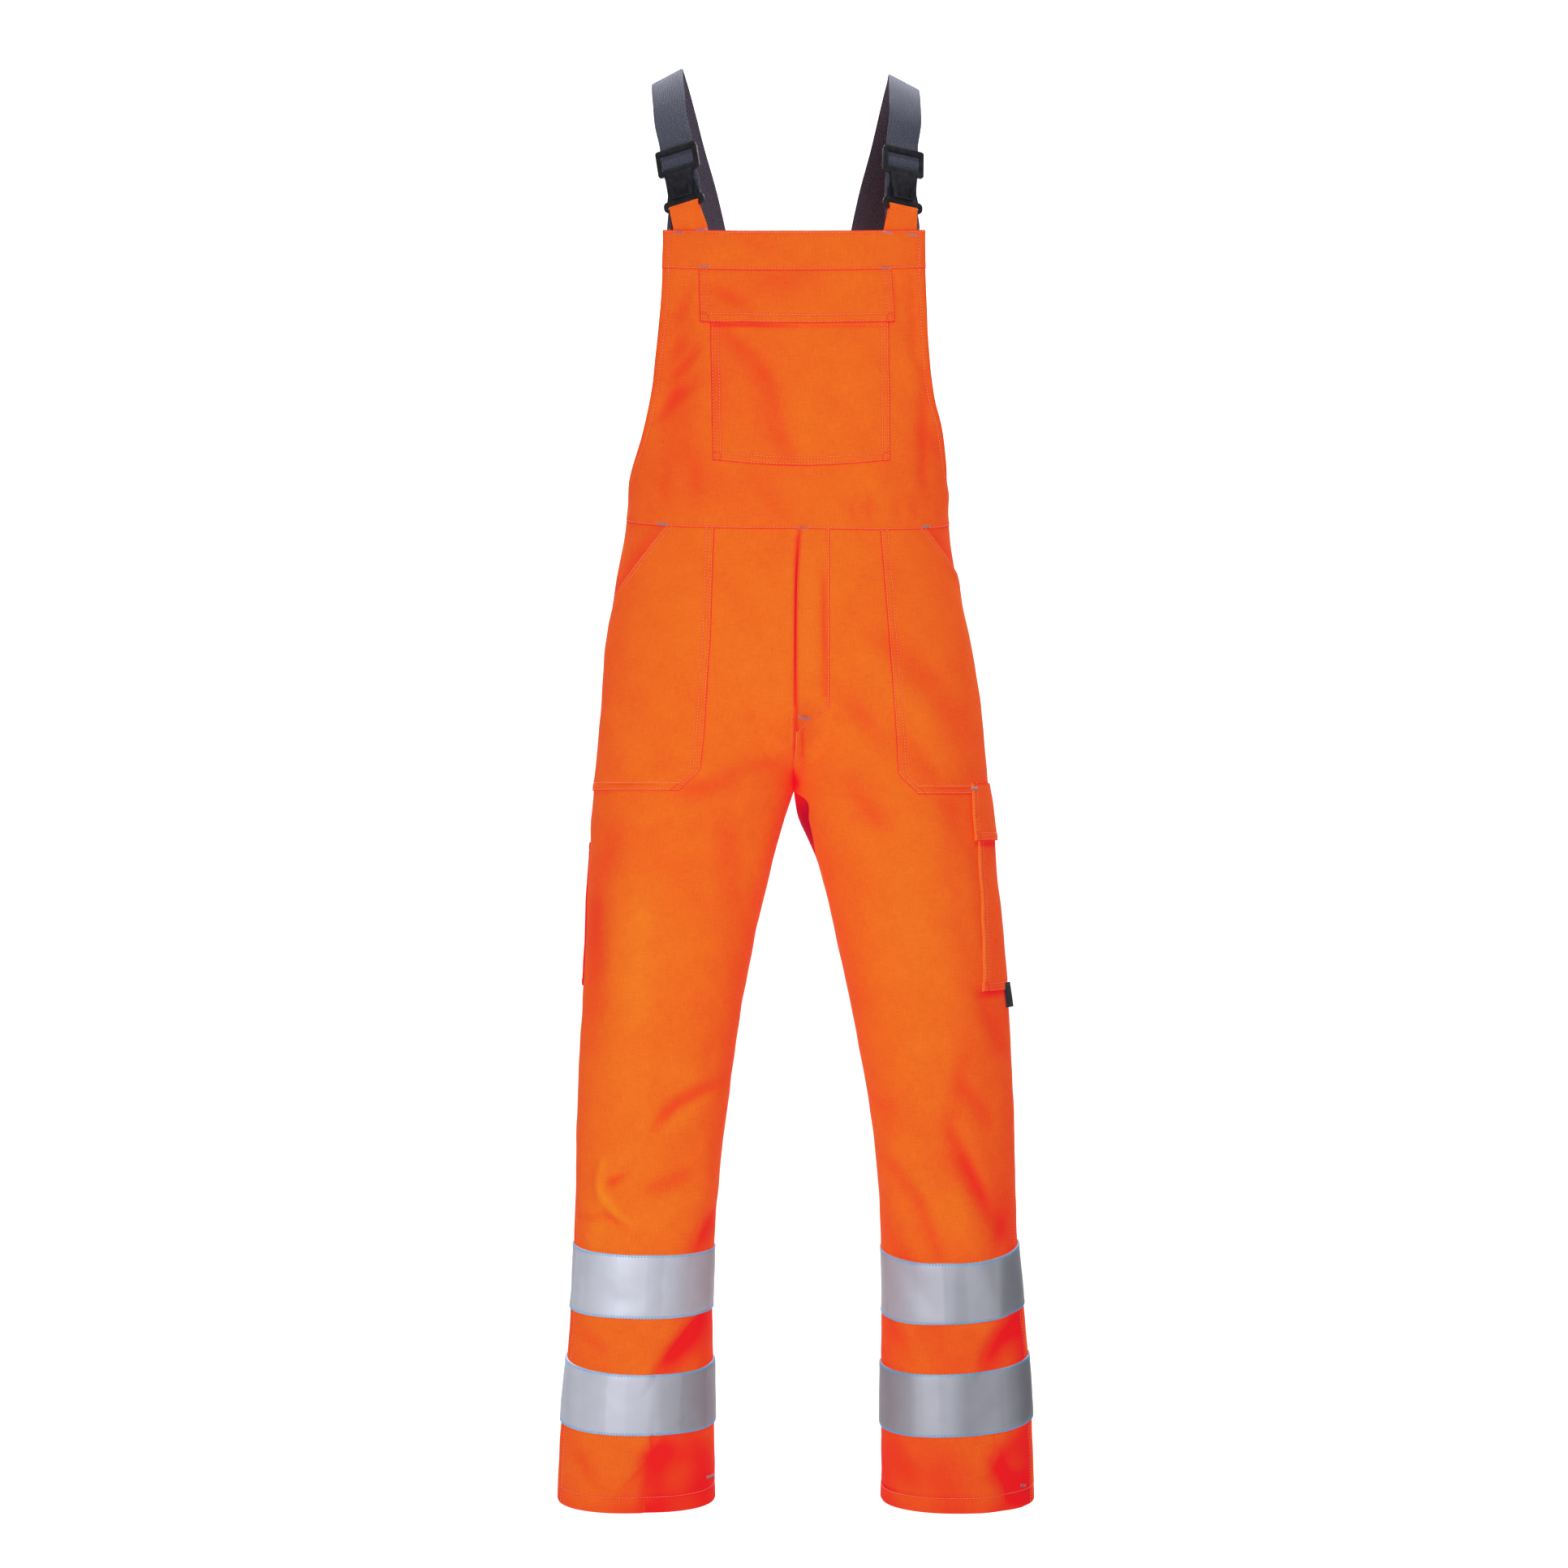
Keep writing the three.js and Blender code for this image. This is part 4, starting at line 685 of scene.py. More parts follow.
def shell(name, grid, inner, outer, material, ring=False):
    """A closed wall between two distances out from a grid. A ring's last column meets its first."""
    points, normals, lines = grid["points"], grid["normals"], grid["lines"]
    rows, columns = points.shape[:2]
    down = run_lengths(points)
    away = {
        "start": grid["from_start"],
        "end": grid["from_end"],
        "low": down,
        "high": down[-1] - down,
    }
    welts = [welt(away[edge], lines[edge]) for edge in away]
    raised, shaded = sum(w[0] for w in welts), sum(w[1] for w in welts)
    out = np.broadcast_to(outer, (rows, columns)) + raised
    back = np.broadcast_to(inner, (rows, columns))
    grid["outer"] = points + normals * out[..., None]
    layers = [grid["outer"], points + normals * back[..., None]]
    vertices = np.concatenate([layer.reshape(-1, 3) for layer in layers])
    size = rows * columns
    index = np.arange(size).reshape(rows, columns)
    if ring:
        index = np.concatenate([index, index[:, :1]], 1)
    corners = index[:-1, :-1], index[:-1, 1:], index[1:, 1:], index[1:, :-1]
    front = np.stack([corner.ravel() for corner in corners], 1)
    faces = [front, front[:, ::-1] + size]
    rims = [index[0, ::-1], index[-1]] + ([] if ring else [index[:, 0], index[::-1, -1]])
    for rim in rims:
        a, b = rim[:-1], rim[1:]
        faces.append(np.stack([a, b, b + size, a + size], 1))
    faces = np.concatenate(faces)
    p, q, r, s = (vertices[faces[:, i]] for i in range(4))
    if (np.cross(q, r) * p + np.cross(r, s) * p).sum() < 0:
        faces = faces[:, ::-1]
    piece = new_piece(name, vertices, faces.tolist(), material)
    steps = np.linalg.norm(np.diff(points, axis=1), axis=2)
    across = np.concatenate([np.zeros((rows, 1)), np.cumsum(steps, 1)], 1)
    middle = columns // 2
    across = across - across[:, middle : middle + 1]
    along = np.repeat(down[:, middle : middle + 1], columns, 1)
    flat = np.tile(np.stack([across, along], -1).reshape(-1, 2) * MM, (2, 1))
    loops = np.zeros(len(piece.data.loops), np.int32)
    piece.data.loops.foreach_get("vertex_index", loops)
    piece.data.uv_layers.new(name="UVMap").data.foreach_set("uv", flat[loops].ravel())
    # Notes for the material: the creases' relief with the painted light of tapes and lit edges, and
    # the painted shade of the welts and the shades' table.
    notes = {"moved": grid.get("moved"), "sunk": np.clip(shaded + grid.get("shaded", 0), 0, 2)}
    for label, values in notes.items():
        if values is not None:
            note = piece.data.attributes.new(label, "FLOAT", "POINT")
            note.data.foreach_set("value", np.tile(values.ravel(), 2))
    return piece


PIECES = {}  # by name: the object, and the nodes of the frame that it stands for
STITCHED = {"peach": [], "blue": []}  # the stitches' paths, for each colour of thread


def cloth(name, grid, inner, outer, material, ring=False):
    """A shell that stands for a CAD node, kept with its grid for the stitches."""
    # Painted shade from the table of shades, where the piece doesn't face far backwards.
    if name in SHADES:
        points = grid["points"]
        shade = crease_depth(SHADES[name], points[..., 0], points[..., 2])
        shade = np.where(grid["normals"][..., 1] < FACES_BACK, shade, 0)
        grid["shaded"] = grid.get("shaded", 0) + shade
    piece = shell(name + "_cloth", grid, inner, outer, material, ring)
    PIECES[name] = (piece, (name,))
    return grid


def sew(grid, edge, line, thread="peach", part=(0, 1)):
    """Runs a row of stitches along one of a grid's edges, at the distance that line gives. It
    turns the corner where the next edge has a row at the same distance."""

    def step_of(name):
        return int(np.argmin(abs(edge_steps(grid["lines"][name]) - line)))

    every, step = slice(None), step_of(edge)
    at = {
        "start": (every, step),
        "end": (every, -1 - step),
        "low": (step,),
        "high": (-1 - step,),
    }[edge]
    path = grid["outer"][at] + grid["normals"][at] * 0.1
    beside = ("low", "high") if edge in ("start", "end") else ("start", "end")
    first, last = (step_of(name) if line in grid["lines"][name] else 0 for name in beside)
    first = max(first, round(part[0] * (len(path) - 1)))
    last = min(len(path) - 1 - last, round(part[1] * (len(path) - 1)))
    STITCHED[thread].append(path[first : last + 1])


# %% [markdown]
# ## Materials
#
# Orange high-visibility twill is a fluorescent cloth: it gives back more red light than falls on it,
# so its shade turns to red and never to brown. A little emission under the diffuse colour does the
# same: a painted glow, as strong in shade as in light. The colour also has painted light: ridges of
# the creases painted lighter and yellower, and troughs, sewn edges and the listed shades painted red,
# with the glow dimmed where that painted shade is deepest. The weave, the slubs of its yarn and its
# slow unevenness come from one node group that every cloth shares, at the scale of its UV map in
# metres.

# %% Helpers for materials
class Signal:
    """An output of a node. Sums and products of signals are made of math nodes."""

    def __init__(self, tree, socket):
        self.tree, self.socket = tree, socket

    def of(self, output):
        """Another output of the same node."""
        return Signal(self.tree, self.socket.node.outputs[output])

    def by(self, operation, other=0.0, clamp=False):
        inputs = {0: self, 1: other}
        return node(self.tree, "ShaderNodeMath", inputs, operation=operation, use_clamp=clamp)

    def __add__(self, other):
        return self.by("ADD", other)

    def __sub__(self, other):
        return self.by("SUBTRACT", other)

    def __mul__(self, other):
        return self.by("MULTIPLY", other)

    def __truediv__(self, other):
        return self.by("DIVIDE", other)


def fill(tree, made, inputs):
    """Fills a node's inputs, by name or by number, with signals or with values."""
    for place, source in inputs.items():
        if isinstance(source, Signal):
            tree.links.new(source.socket, made.inputs[place])
        else:
            made.inputs[place].default_value = source


def node(tree, kind, inputs=None, output=0, **settings):
    """A node with its settings and inputs. It gives the signal at one of its outputs."""
    made = tree.nodes.new(kind)
    for key, value in settings.items():
        setattr(made, key, value)
    fill(tree, made, inputs or {})
    return Signal(tree, made.outputs[output])


def new_group(name, kind, inputs, outputs):
    """A node group, the signals that it is given, and the node that takes what it makes."""
    group = bpy.data.node_groups.new(name, kind)
    for label, what, value in inputs:
        socket = group.interface.new_socket(label, in_out="INPUT", socket_type="NodeSocket" + what)
        if value is not None:
            socket.default_value = value
    for label, what in outputs:
        group.interface.new_socket(label, in_out="OUTPUT", socket_type="NodeSocket" + what)
    given = group.nodes.new("NodeGroupInput").outputs
    signals = [Signal(group, given[label]) for label, *_ in inputs]
    return group, signals, group.nodes.new("NodeGroupOutput")


def noise(at, scale, detail, rough):
    inputs = {"Vector": at, "Scale": scale, "Detail": detail, "Roughness": rough}
    return node(at.tree, "ShaderNodeTexNoise", inputs, "Fac")


def blended(share, *colours):
    """From the first colour to the second one."""
    first, second = (c if isinstance(c, Signal) else (*c, 1) for c in colours)
    return node(share.tree, "ShaderNodeMix", {0: share, 6: first, 7: second}, 2, data_type="RGBA")


def tinted(colour, tone):
    """A colour times a tone."""
    return node(tone.tree, "ShaderNodeVectorMath", {0: colour, 3: tone}, operation="SCALE")


def bump(height, strength, distance):
    inputs = {"Height": height, "Strength": strength, "Distance": distance}
    return node(height.tree, "ShaderNodeBump", inputs)


def uv_map(tree):
    return node(tree, "ShaderNodeUVMap", uv_map="UVMap")


def in_object(tree):
    return node(tree, "ShaderNodeTexCoord", output="Object")


def noted(tree, label):
    """A number that a mesh keeps for each of its points."""
    return node(tree, "ShaderNodeAttribute", output="Fac", attribute_name=label)


def material(name, recipe, *values):
    """A material whose shader is filled with what a recipe gives."""
    made = bpy.data.materials.new(name)
    made.use_nodes = True
    tree = made.node_tree
    fill(tree, tree.nodes["Principled BSDF"], recipe(tree, *values))
    return made


# %% Node group: twill
TURN = 2 * math.pi


def twill_group():
    """Two sets of yarns in a diagonal, with slubs and slow unevenness. It gives a height for the
    bump and a tone around 1 for the colour."""
    group, (uv, yarn), made = new_group(
        "twill",
        "ShaderNodeTree",
        [("UV", "Vector", None), ("Yarn", "Float", 0.00055)],
        [("Height", "Float"), ("Tone", "Float")],
    )
    u = node(group, "ShaderNodeSeparateXYZ", {0: uv})
    warp, weft = u / yarn * TURN, u.of(1) / yarn * TURN
    weave = warp.by("SINE") * weft.by("SINE") * 0.4 + ((warp + weft) * 0.5).by("SINE")

    def slubs_along(stretch):
        drawn = node(group, "ShaderNodeVectorMath", {0: uv, 1: stretch}, operation="MULTIPLY")
        return noise(drawn, 1.0, 3, 0.6)

    slubs = slubs_along((900, 70, 1)) + slubs_along((70, 900, 1))
    slow, speckle = noise(uv, 26.0, 4, 0.6), noise(uv, 650.0, 2, 0.6)
    tone = (slubs - 1.0) * 0.55 + (slow - 0.5) * 0.35 + (speckle - 0.5) * 0.6 + 1.0
    fill(group, made, {"Height": weave * 0.35 + slubs, "Tone": tone})
    return group


# %% Materials: twill, tape, webbing, plastic, label and thread
def orange_twill(tree):
    weave = node(tree, "ShaderNodeGroup", {"UV": uv_map(tree)}, node_tree=TWILL_GROUP)
    moved, sunk = noted(tree, "moved"), noted(tree, "sunk")
    # Painted light: ridges of the creases painted lighter and yellower, troughs and the painted shade
    # painted red, and darker still where the painted shade is over 1.
    painted_highlight = moved.by("MULTIPLY", 0.16, clamp=True)
    painted_trough_shade = moved.by("MULTIPLY", -0.14, clamp=True)
    painted_shade_share = painted_trough_shade.by("ADD", sunk * 0.9, clamp=True)
    painted_dark_shade = sunk.by("SUBTRACT", 1.0, clamp=True)
    base = blended(painted_highlight, (0.27, 0.184, 0.003), (0.3, 0.26, 0.004))
    base = blended(painted_shade_share, tinted(base, weave.of("Tone")), (0.27, 0.02, 0.003))
    return {
        "Base Color": blended(painted_dark_shade, base, (0.2, 0.003, 0.01)),
        "Normal": bump(weave, 0.35, 0.0004),
        "Roughness": 0.88,
        "Specular IOR Level": 0.08,
        # A constant painted glow, as strong in shade as in light, dimmed where the painted shade is
        # over 1.
        "Emission Color": blended(painted_dark_shade, (1, 0.002, 0.021), (0.5, 0, 0.03)),
        "Emission Strength": 0.64,
    }


def silver_tape(tree):
    uv = uv_map(tree)
    grain, cloudy = noise(uv, 1500.0, 2, 0.6), noise(uv, 45.0, 4, 0.6)
    # The tone is lifted and lowered by the painted light and shade of the tapes.
    tone = (grain * 0.4 + 0.69 + cloudy * 0.16 - 0.08) * (noted(tree, "moved") + 1.0)
    return {
        "Base Color": tinted((0.74, 0.76, 0.88), tone),
        "Normal": bump(grain, 0.2, 0.0002),
        "Roughness": 0.55,
        "Metallic": 0.2,
    }


def grey_webbing(tree):
    uv = uv_map(tree)
    across = node(tree, "ShaderNodeSeparateXYZ", {0: uv})
    lean = across.of(1) + across * 0.9
    bars = (lean * (TURN / 0.0023)).by("SINE")
    cords = (across * (TURN / 0.0017)).by("SINE")
    light = bars * 0.3 + cords * 0.2 + noise(uv, 800.0, 2, 0.7) * 1.6
    light = light.by("SUBTRACT", 0.45, clamp=True)
    return {
        "Base Color": blended(light, (0.015, 0.016, 0.03), (0.19, 0.2, 0.31)),
        "Normal": bump(bars + cords, 0.6, 0.0004),
        "Roughness": 0.85,
        "Sheen Weight": 0.1,
    }


def black_plastic(tree):
    # Painted highlights, lighter in random patches, with the roughness following them; the grain is
    # the plastic's own.
    grain, mottled_highlights = noise(in_object(tree), 1800.0, 2, 0.5), noise(in_object(tree), 160.0, 3, 0.6)
    return {
        "Base Color": tinted((0.018, 0.0185, 0.024), mottled_highlights * 2.4 + -0.1),
        "Normal": bump(grain, 0.12, 0.0002),
        "Roughness": mottled_highlights * 0.3 + 0.2,
    }


def dark_label(tree):
    inputs = {"UV": uv_map(tree), "Yarn": 0.0004}
    weave = node(tree, "ShaderNodeGroup", inputs, node_tree=TWILL_GROUP)
    return {
        "Base Color": tinted((0.035, 0.037, 0.046), weave.of("Tone")),
        "Normal": bump(weave, 0.3, 0.0003),
        "Roughness": 0.8,
    }


def thread(tree, colour, glow):
    return {
        "Base Color": tinted(colour, noise(in_object(tree), 1300.0, 2, 0.6) * 0.3 + 0.85),
        "Roughness": 0.6,
        "Sheen Weight": 0.2,
        "Emission Color": (*colour, 1),
        "Emission Strength": glow,
    }


TWILL_GROUP = twill_group()
TWILL = material("orange_twill", orange_twill)
TAPE = material("silver_tape", silver_tape)
WEBBING_MATERIAL = material("grey_webbing", grey_webbing)
PLASTIC = material("black_plastic", black_plastic)
LABEL = material("dark_label", dark_label)
# The peach and blue threads have a painted glow, as the cloth has.
THREADS = {
    "peach": material("peach_thread", thread, (0.88, 0.33, 0.14), 0.2),
    "blue": material("blue_thread", thread, (0.04, 0.4, 0.75), 0.35),
    "grey": material("grey_thread", thread, (0.42, 0.43, 0.5), 0.0),
}
print("materials:", len(bpy.data.materials))


# %% [markdown]
# ## The trousers
#
# Each leg is a front and a back panel that meet at an outer seam and at the inseam. On the left
# leg the back panel laps a little round the inseam above the knee, where the front's edge shows.

# %% Rows and panels of the legs
def between(high, low, head=(), tail=(), gap=0.0):
    """Row heights from the top down, closer together at stitched edges."""
    return high - gap - spaced(high - low - 2 * gap, head, tail)


def leg_panel(face, side):
    """The function that gives points of a leg's panel, from one seam to the other."""

    def at(level, share):
        lap = curve(LEGS, "lap", level) * (side == "left") * (level < CROTCH)
        seam = 1 - curve(LEGS, "seam", level)
        turn = mix(lap, seam, share) if face == "front" else mix(seam, 2 + lap, share)
        return trousers(side, turn, level)

    return at


HEM_LINE = (17,)
LEG_ROWS = [
    between(WAIST, CROTCH + 24, gap=EASE),
    np.linspace(CROTCH + 21, CROTCH, 12),  # towards the crotch
    np.linspace(CROTCH - 1.4, CROTCH - 12.6, 9),  # the arch between the legs
    between(CROTCH - 15, HEM, tail=HEM_LINE),
]
legs = {}
for side in SIDES:
    for face in ("front", "back"):
        at = leg_panel(face, side)
        grid = creased(at, np.concatenate(LEG_ROWS), SINGLE, SINGLE, high=HEM_LINE)
        legs[face, side] = cloth(f"{face}_leg_{side}", grid, -CLOTH, 0, TWILL)
print("leg panels:", [grid["points"].shape[:2] for grid in legs.values()])


# %% [markdown]
# ## The bib and the back panel
#
# The bib's sides run up from the side seams in a rounded armhole. Its top is a doubled band, and a
# patch pocket with a flap lies on its middle.

# %% Panels above the waist
BIB_TOP, BIB_TOP_CURVE = -189, 18.5
BAND_SEAM, BAND_SEAM_CURVE = -232.5, 24
BACK_TOP, BACK_BAND_SEAM = -244, -272
ARMHOLE, ARMHOLE_ROUNDING = -462, 26
BAND_LOW, BAND_HIGH = -206, -170.5  # the band's edges at the side, for the spacing of its rows
SIDE_HEM = (8,)
UNDER = 5  # how far a panel runs on under the piece that is sewn over its edge


def edge_turn(edges, side, level, face):
    """The turn of a side edge: the side seam at the bottom, the table's edge above it."""
    turn = torso_turn(curve(edges, side, level), level, face)
    up = np.clip((level - ARMHOLE) / ARMHOLE_ROUNDING, 0, 1)
    return mix(SIDES[side] * 0.5, turn, np.sqrt(1 - (1 - up) ** 2))


def torso_panel(face, edges, bottom_of, top_of):
    """The function that gives points of a panel, from the right edge to the left one."""

    def at(up, share):
        level = mix(bottom_of(0, 0), top_of(0, 0), up)
        right = edge_turn(edges, "right", level, face)
        left = edge_turn(edges, "left", level, face)
        if face == "front":
            turn = mix(right, left, share)
        else:
            away = mix(-(1 + right), 1 - left, share)  # from the centre back
            turn = np.where(away < 0, -(1 + away), 1 - away)
        place = abs(np.cos(turn * np.pi)), np.sin(turn * np.pi)
        z = mix(bottom_of(*place), top_of(*place), up)
        if face == "front":
            return torso(turn, z)
        return surface(lambda t, h: torso_point(np.where(t < 0, -1 - t, 1 - t), h), away, z, -1)

    return at


def torso_rows(low, high, bottom=(), top=(), gap=EASE):
    """Shares of the height between two levels, from the bottom up."""
    return (gap + spaced(high - low - 2 * gap, bottom, top)) / (high - low)


def cross_line(level, middle=0, side=0, lows=(0, 0)):
    """A line round the trunk, as a function of how far a place faces the front or the back, from 0
    to 1, and of how far it is to the left, from -1 to 1. It is higher by the given distances at the
    middle and at the side, and lower on the right and the left side by the last two."""

    def at(facing, left=0):
        low = np.where(left < 0, *lows)
        return level + middle * facing + side * (1 - facing) - low * abs(left)

    return at


LOWS = [curve(LINES, name, WAIST) for name in ("right_low", "left_low")]
waist_front = cross_line(WAIST, -curve(LINES, "right", WAIST), lows=LOWS)
waist_back = cross_line(WAIST, curve(LINES, "rise", WAIST), lows=LOWS)
under_band = cross_line(BAND_SEAM + UNDER, side=BAND_SEAM_CURVE)
band_seam = cross_line(BAND_SEAM, side=BAND_SEAM_CURVE)
bib_top = cross_line(BIB_TOP, side=BIB_TOP_CURVE)
back_seam, back_top = cross_line(BACK_BAND_SEAM), cross_line(BACK_TOP)
TORSO = {  # the face and edges, the lines below and above, levels for the rows, and the thread's lines
    "bib_front": ("front", BIB_EDGES, waist_front, under_band, WAIST, BAND_LOW + UNDER, SINGLE, ()),
    "bib_band": ("front", BIB_EDGES, band_seam, bib_top, BAND_LOW, BAND_HIGH, SINGLE, SINGLE),
    "back_panel": ("back", BACK_EDGES, waist_back, back_seam, WAIST, BACK_BAND_SEAM, SINGLE, ()),
    "back_band": ("back", BACK_EDGES, back_seam, back_top, BACK_BAND_SEAM, BACK_TOP, SINGLE, SINGLE),
}
WALLS = {"bib_front": (-CLOTH, 0), "bib_band": (-CLOTH - 0.3, 0.8), "back_panel": (-CLOTH, 0)}
torso_grids = {}
for name, (face, edges, below, above, low, high, bottom, top) in TORSO.items():
    at = torso_panel(face, edges, below, above)
    grid = creased(at, torso_rows(low, high, bottom, top), SIDE_HEM, SIDE_HEM, bottom, top)
    inner, outer = WALLS.get(name, (-CLOTH, 0.8))
    torso_grids[name] = cloth(name, grid, inner, outer, TWILL)
bib, band, back, back_band = torso_grids.values()
print("bib:", bib["points"].shape[:2], "back:", back["points"].shape[:2])


# %% [markdown]
# ## Pockets, flaps and the fly
#
# These are patches that lie on the panels, so each follows the same surface a little further out.
# Their outlines are given across the front or along the side, row by row. The pocket mouths and
# the flaps' lower edges stand off, because nothing sews them down there.

# %% The chest pocket and its flap
CHEST_POCKET = {
    "left": (107.5, 109.5),
    "right": (-85.5, -81.5),
    "top": -238,
    "bottom": -435,
    "sag": 7,
}
FLAP = {"left": (110.5, 113.5), "right": (-96.5, -94), "top": None, "bottom": -286, "sag": 3}


def chest_patch(left, right, top, bottom, sag):
    """A patch of the bib. Each side is given by its places at the top and at the bottom, and a
    patch with no top of its own hangs from the seam of the band."""

    def at(down, share):
        x = mix(mix(*right, down), mix(*left, down), share)
        upper = top or band_seam(np.cos(torso_turn(x, BAND_SEAM) * np.pi)) - SEAM_GAP
        z = mix(upper, bottom - sag * np.sin(share * np.pi), down)
        return torso(torso_turn(x, z), z)

    return at


# The lit edge's painted highlight: how wide it is, how strong, and how much of the welt's painted
# shade it takes off.
LIT_WIDTH, LIT_HIGHLIGHT, LIT_SHADE = 1.5, 7, -2


def patch(name, at, rows, wall, start=DOUBLE, low=(), pitch=PITCH, lit=False):
    """A patch of twill. The wall is a function of how far down and across it a place is. A lit one has
    a painted highlight along the folded edge at its start."""
    grid = creased(at, rows, start, DOUBLE, low, DOUBLE, pitch=pitch, gap=0)
    if lit:
        # A painted highlight: the colour is lifted and the welt's painted shade taken off, while the
        # cloth stays where it is.
        near = np.exp(-((grid["from_start"] / LIT_WIDTH) ** 2))
        grid["moved"] += LIT_HIGHLIGHT * near
        grid["shaded"] = LIT_SHADE * near
    return cloth(name, grid, *wall(*shares_of(grid)), TWILL)


def chest_rows(height):
    return spaced(height, (), DOUBLE, FINE) / height


def bowed(down, across):
    return SEAM_GAP, ON_PANEL + 0.5 * np.sin(np.pi * across)


def hanging(down, across):
    stands_off = ON_PANEL * smooth(down * 8) + 2.2 * down**1.5
    return SEAM_GAP + stands_off, ON_PANEL + stands_off


pocket = patch("bib_pocket", chest_patch(**CHEST_POCKET), chest_rows(200), bowed, pitch=FINE)
flap = patch("bib_pocket_flap", chest_patch(**FLAP), chest_rows(54), hanging, pitch=FINE)


# %% The hip pockets
def level_of(side, x, z):
    """The level of the cloth at a place of the front view."""
    level = np.array(z, float)
    for _ in range(6):
        turn = leg_turn(side, x, level)
        level = level + z - trousers_point(side, turn, level)[..., 2]
    return level


def on_leg(side, first, last):
    """A patch of a leg between two turns, each a function of the level."""

    def at(level, share):
        row = level[:, :1]
        return trousers(side, mix(first(row), last(row), share), level)

    return at


def through(side, places):
    """The turn along a line that runs through places of the front view, from the top down."""
    places = np.array(places, float)
    parts = np.linspace(0, len(places) - 1, 8 * (len(places) - 1) + 1)
    x = np.interp(parts, np.arange(len(places)), places[:, 0])
    z = np.interp(parts, np.arange(len(places)), places[:, 1])
    level = level_of(side, x, z)
    return level[::-1], leg_turn(side, x, level)[::-1]


def between_places(levels, turns):
    """The function that gives the turn of a line at any level."""
    return lambda level: np.interp(level, levels, turns)


HIP_POCKETS = {
    "right": {
        "inner": [(-80, -502), (-84, -625), (-91, -730), (-95, -770), (-120, -793)],
        "mouth": [(-132, -503), (-187, -575), (-197, -606)],
    },
    "left": {
        "inner": [(98, -502), (108, -625), (116, -730), (118, -774), (141, -797)],
        "mouth": [(149, -506), (184, -555), (192, -584)],
    },
}
SEAM_TURN = 0.995  # a pocket ends just in front of the outer seam
MOUTH_LIFT, MOUTH_REACH = 1.8, 16  # how far the mouth stands off, and how far in from its edge
hip_pockets = {}
for side, lines in HIP_POCKETS.items():
    inner_at = between_places(*through(side, lines["inner"]))
    mouth_level, mouth_turn = through(side, lines["mouth"])
    outer_at = between_places(
        np.concatenate([[-900, mouth_level[0] - 5], mouth_level]),
        np.concatenate([[SEAM_TURN, SEAM_TURN], mouth_turn]),
    )
    rows = between(WAIST, lines["inner"][-1][1], tail=DOUBLE, gap=EASE)
    grid = creased(on_leg(side, inner_at, outer_at), rows, DOUBLE, DOUBLE, high=DOUBLE, gap=0)
    mouth = np.clip((mouth_level[-1] - rows) / (mouth_level[-1] - mouth_level[0]), 0, 1)
    near = np.exp(-((grid["from_end"] / MOUTH_REACH) ** 2))
    lifted = MOUTH_LIFT * np.sin(mouth * np.pi)[:, None] * near
    cloth(f"hip_pocket_{side}", grid, SEAM_GAP + lifted, ON_PANEL + lifted, TWILL)
    grid["sewn_part"] = float((mouth > 0).mean())
    hip_pockets[side] = grid


# %% The fly
# Its two sides, and the heights at which the outer one turns inwards and ends.
FLY = {"inner": 8.2, "outer": 44.5, "corner": -702, "low": -729}
fly_rows = between(WAIST, FLY["low"], gap=EASE)
down = np.clip((FLY["corner"] - fly_rows) / (FLY["corner"] - FLY["low"]), 0, 1)
fly_sides = [
    between_places(fly_rows[::-1], leg_turn("left", x, fly_rows)[::-1])
    for x in (FLY["inner"] + 0 * down, mix(FLY["outer"], FLY["inner"] + 1.5, down))
]
fly = creased(on_leg("left", *fly_sides), fly_rows, SINGLE, SINGLE, gap=0)
across = fly["from_start"] / (fly["from_start"] + fly["from_end"])
cloth("fly", fly, -0.4, mix(ON_PANEL + 0.4, 0.25, smooth(across)), TWILL)


# %% The thigh pocket, its flap and a blank tab, round the left outer seam
THIGH_POCKET = {"front": -66, "back": 76, "top": -800, "bottom": -1012, "lean": -8}
THIGH_FLAP = {"front": -74, "back": 82, "top": -785, "bottom": -848, "lean": -3}
LABEL_TAB = {"front": -36, "back": -20, "top": -1004, "bottom": -1031, "lean": 0}
POCKET_DEPTH = 1.9


def side_patch(front, back, top, bottom, lean, head=(), tail=DOUBLE):
    """A patch of the left leg round its outer side, between two places from front to back, and the
    heights of its rows."""

    def turn_at(y, level):
        wanted = y + lean * (top - level) / (top - bottom)
        return solve(lambda t: trousers_point("left", t, level)[..., 1], wanted, 0.2, 1.8)

    at = on_leg("left", lambda row: turn_at(front, row), lambda row: turn_at(back, row))
    return at, between(top, bottom, head, tail)


def swollen(down, across):
    return SEAM_GAP, POCKET_DEPTH + 1.4 * np.sin(np.pi * down) * np.sin(np.pi * across)


def flared(down, across):
    flare = POCKET_DEPTH + SEAM_GAP + 2.4 * down**1.3
    return flare, flare + 1.3


thigh_pocket = patch("thigh_pocket", *side_patch(**THIGH_POCKET), swollen, lit=True)
thigh_flap = patch(
    "thigh_flap", *side_patch(**THIGH_FLAP, head=SINGLE), flared, low=SINGLE, lit=True
)
grid = laid_out(*side_patch(**LABEL_TAB, tail=()), gap=0)
down, across = shares_of(grid)
stands_off = 0.7 + 4 * across + 0.8 * down  # it swings out at the back
cloth("label_tab", grid, stands_off, stands_off + 0.9, LABEL)


# %% The rule pocket behind the right outer seam
RULE_POCKET = {"inner": -150.0, "top": -850, "bottom": -1008}


def rule_seam(level):
    return 1.004 - curve(LEGS, "seam", level)


def rule_inner(level):
    return leg_turn("right", np.full(level.shape, RULE_POCKET["inner"]), level, back=True)


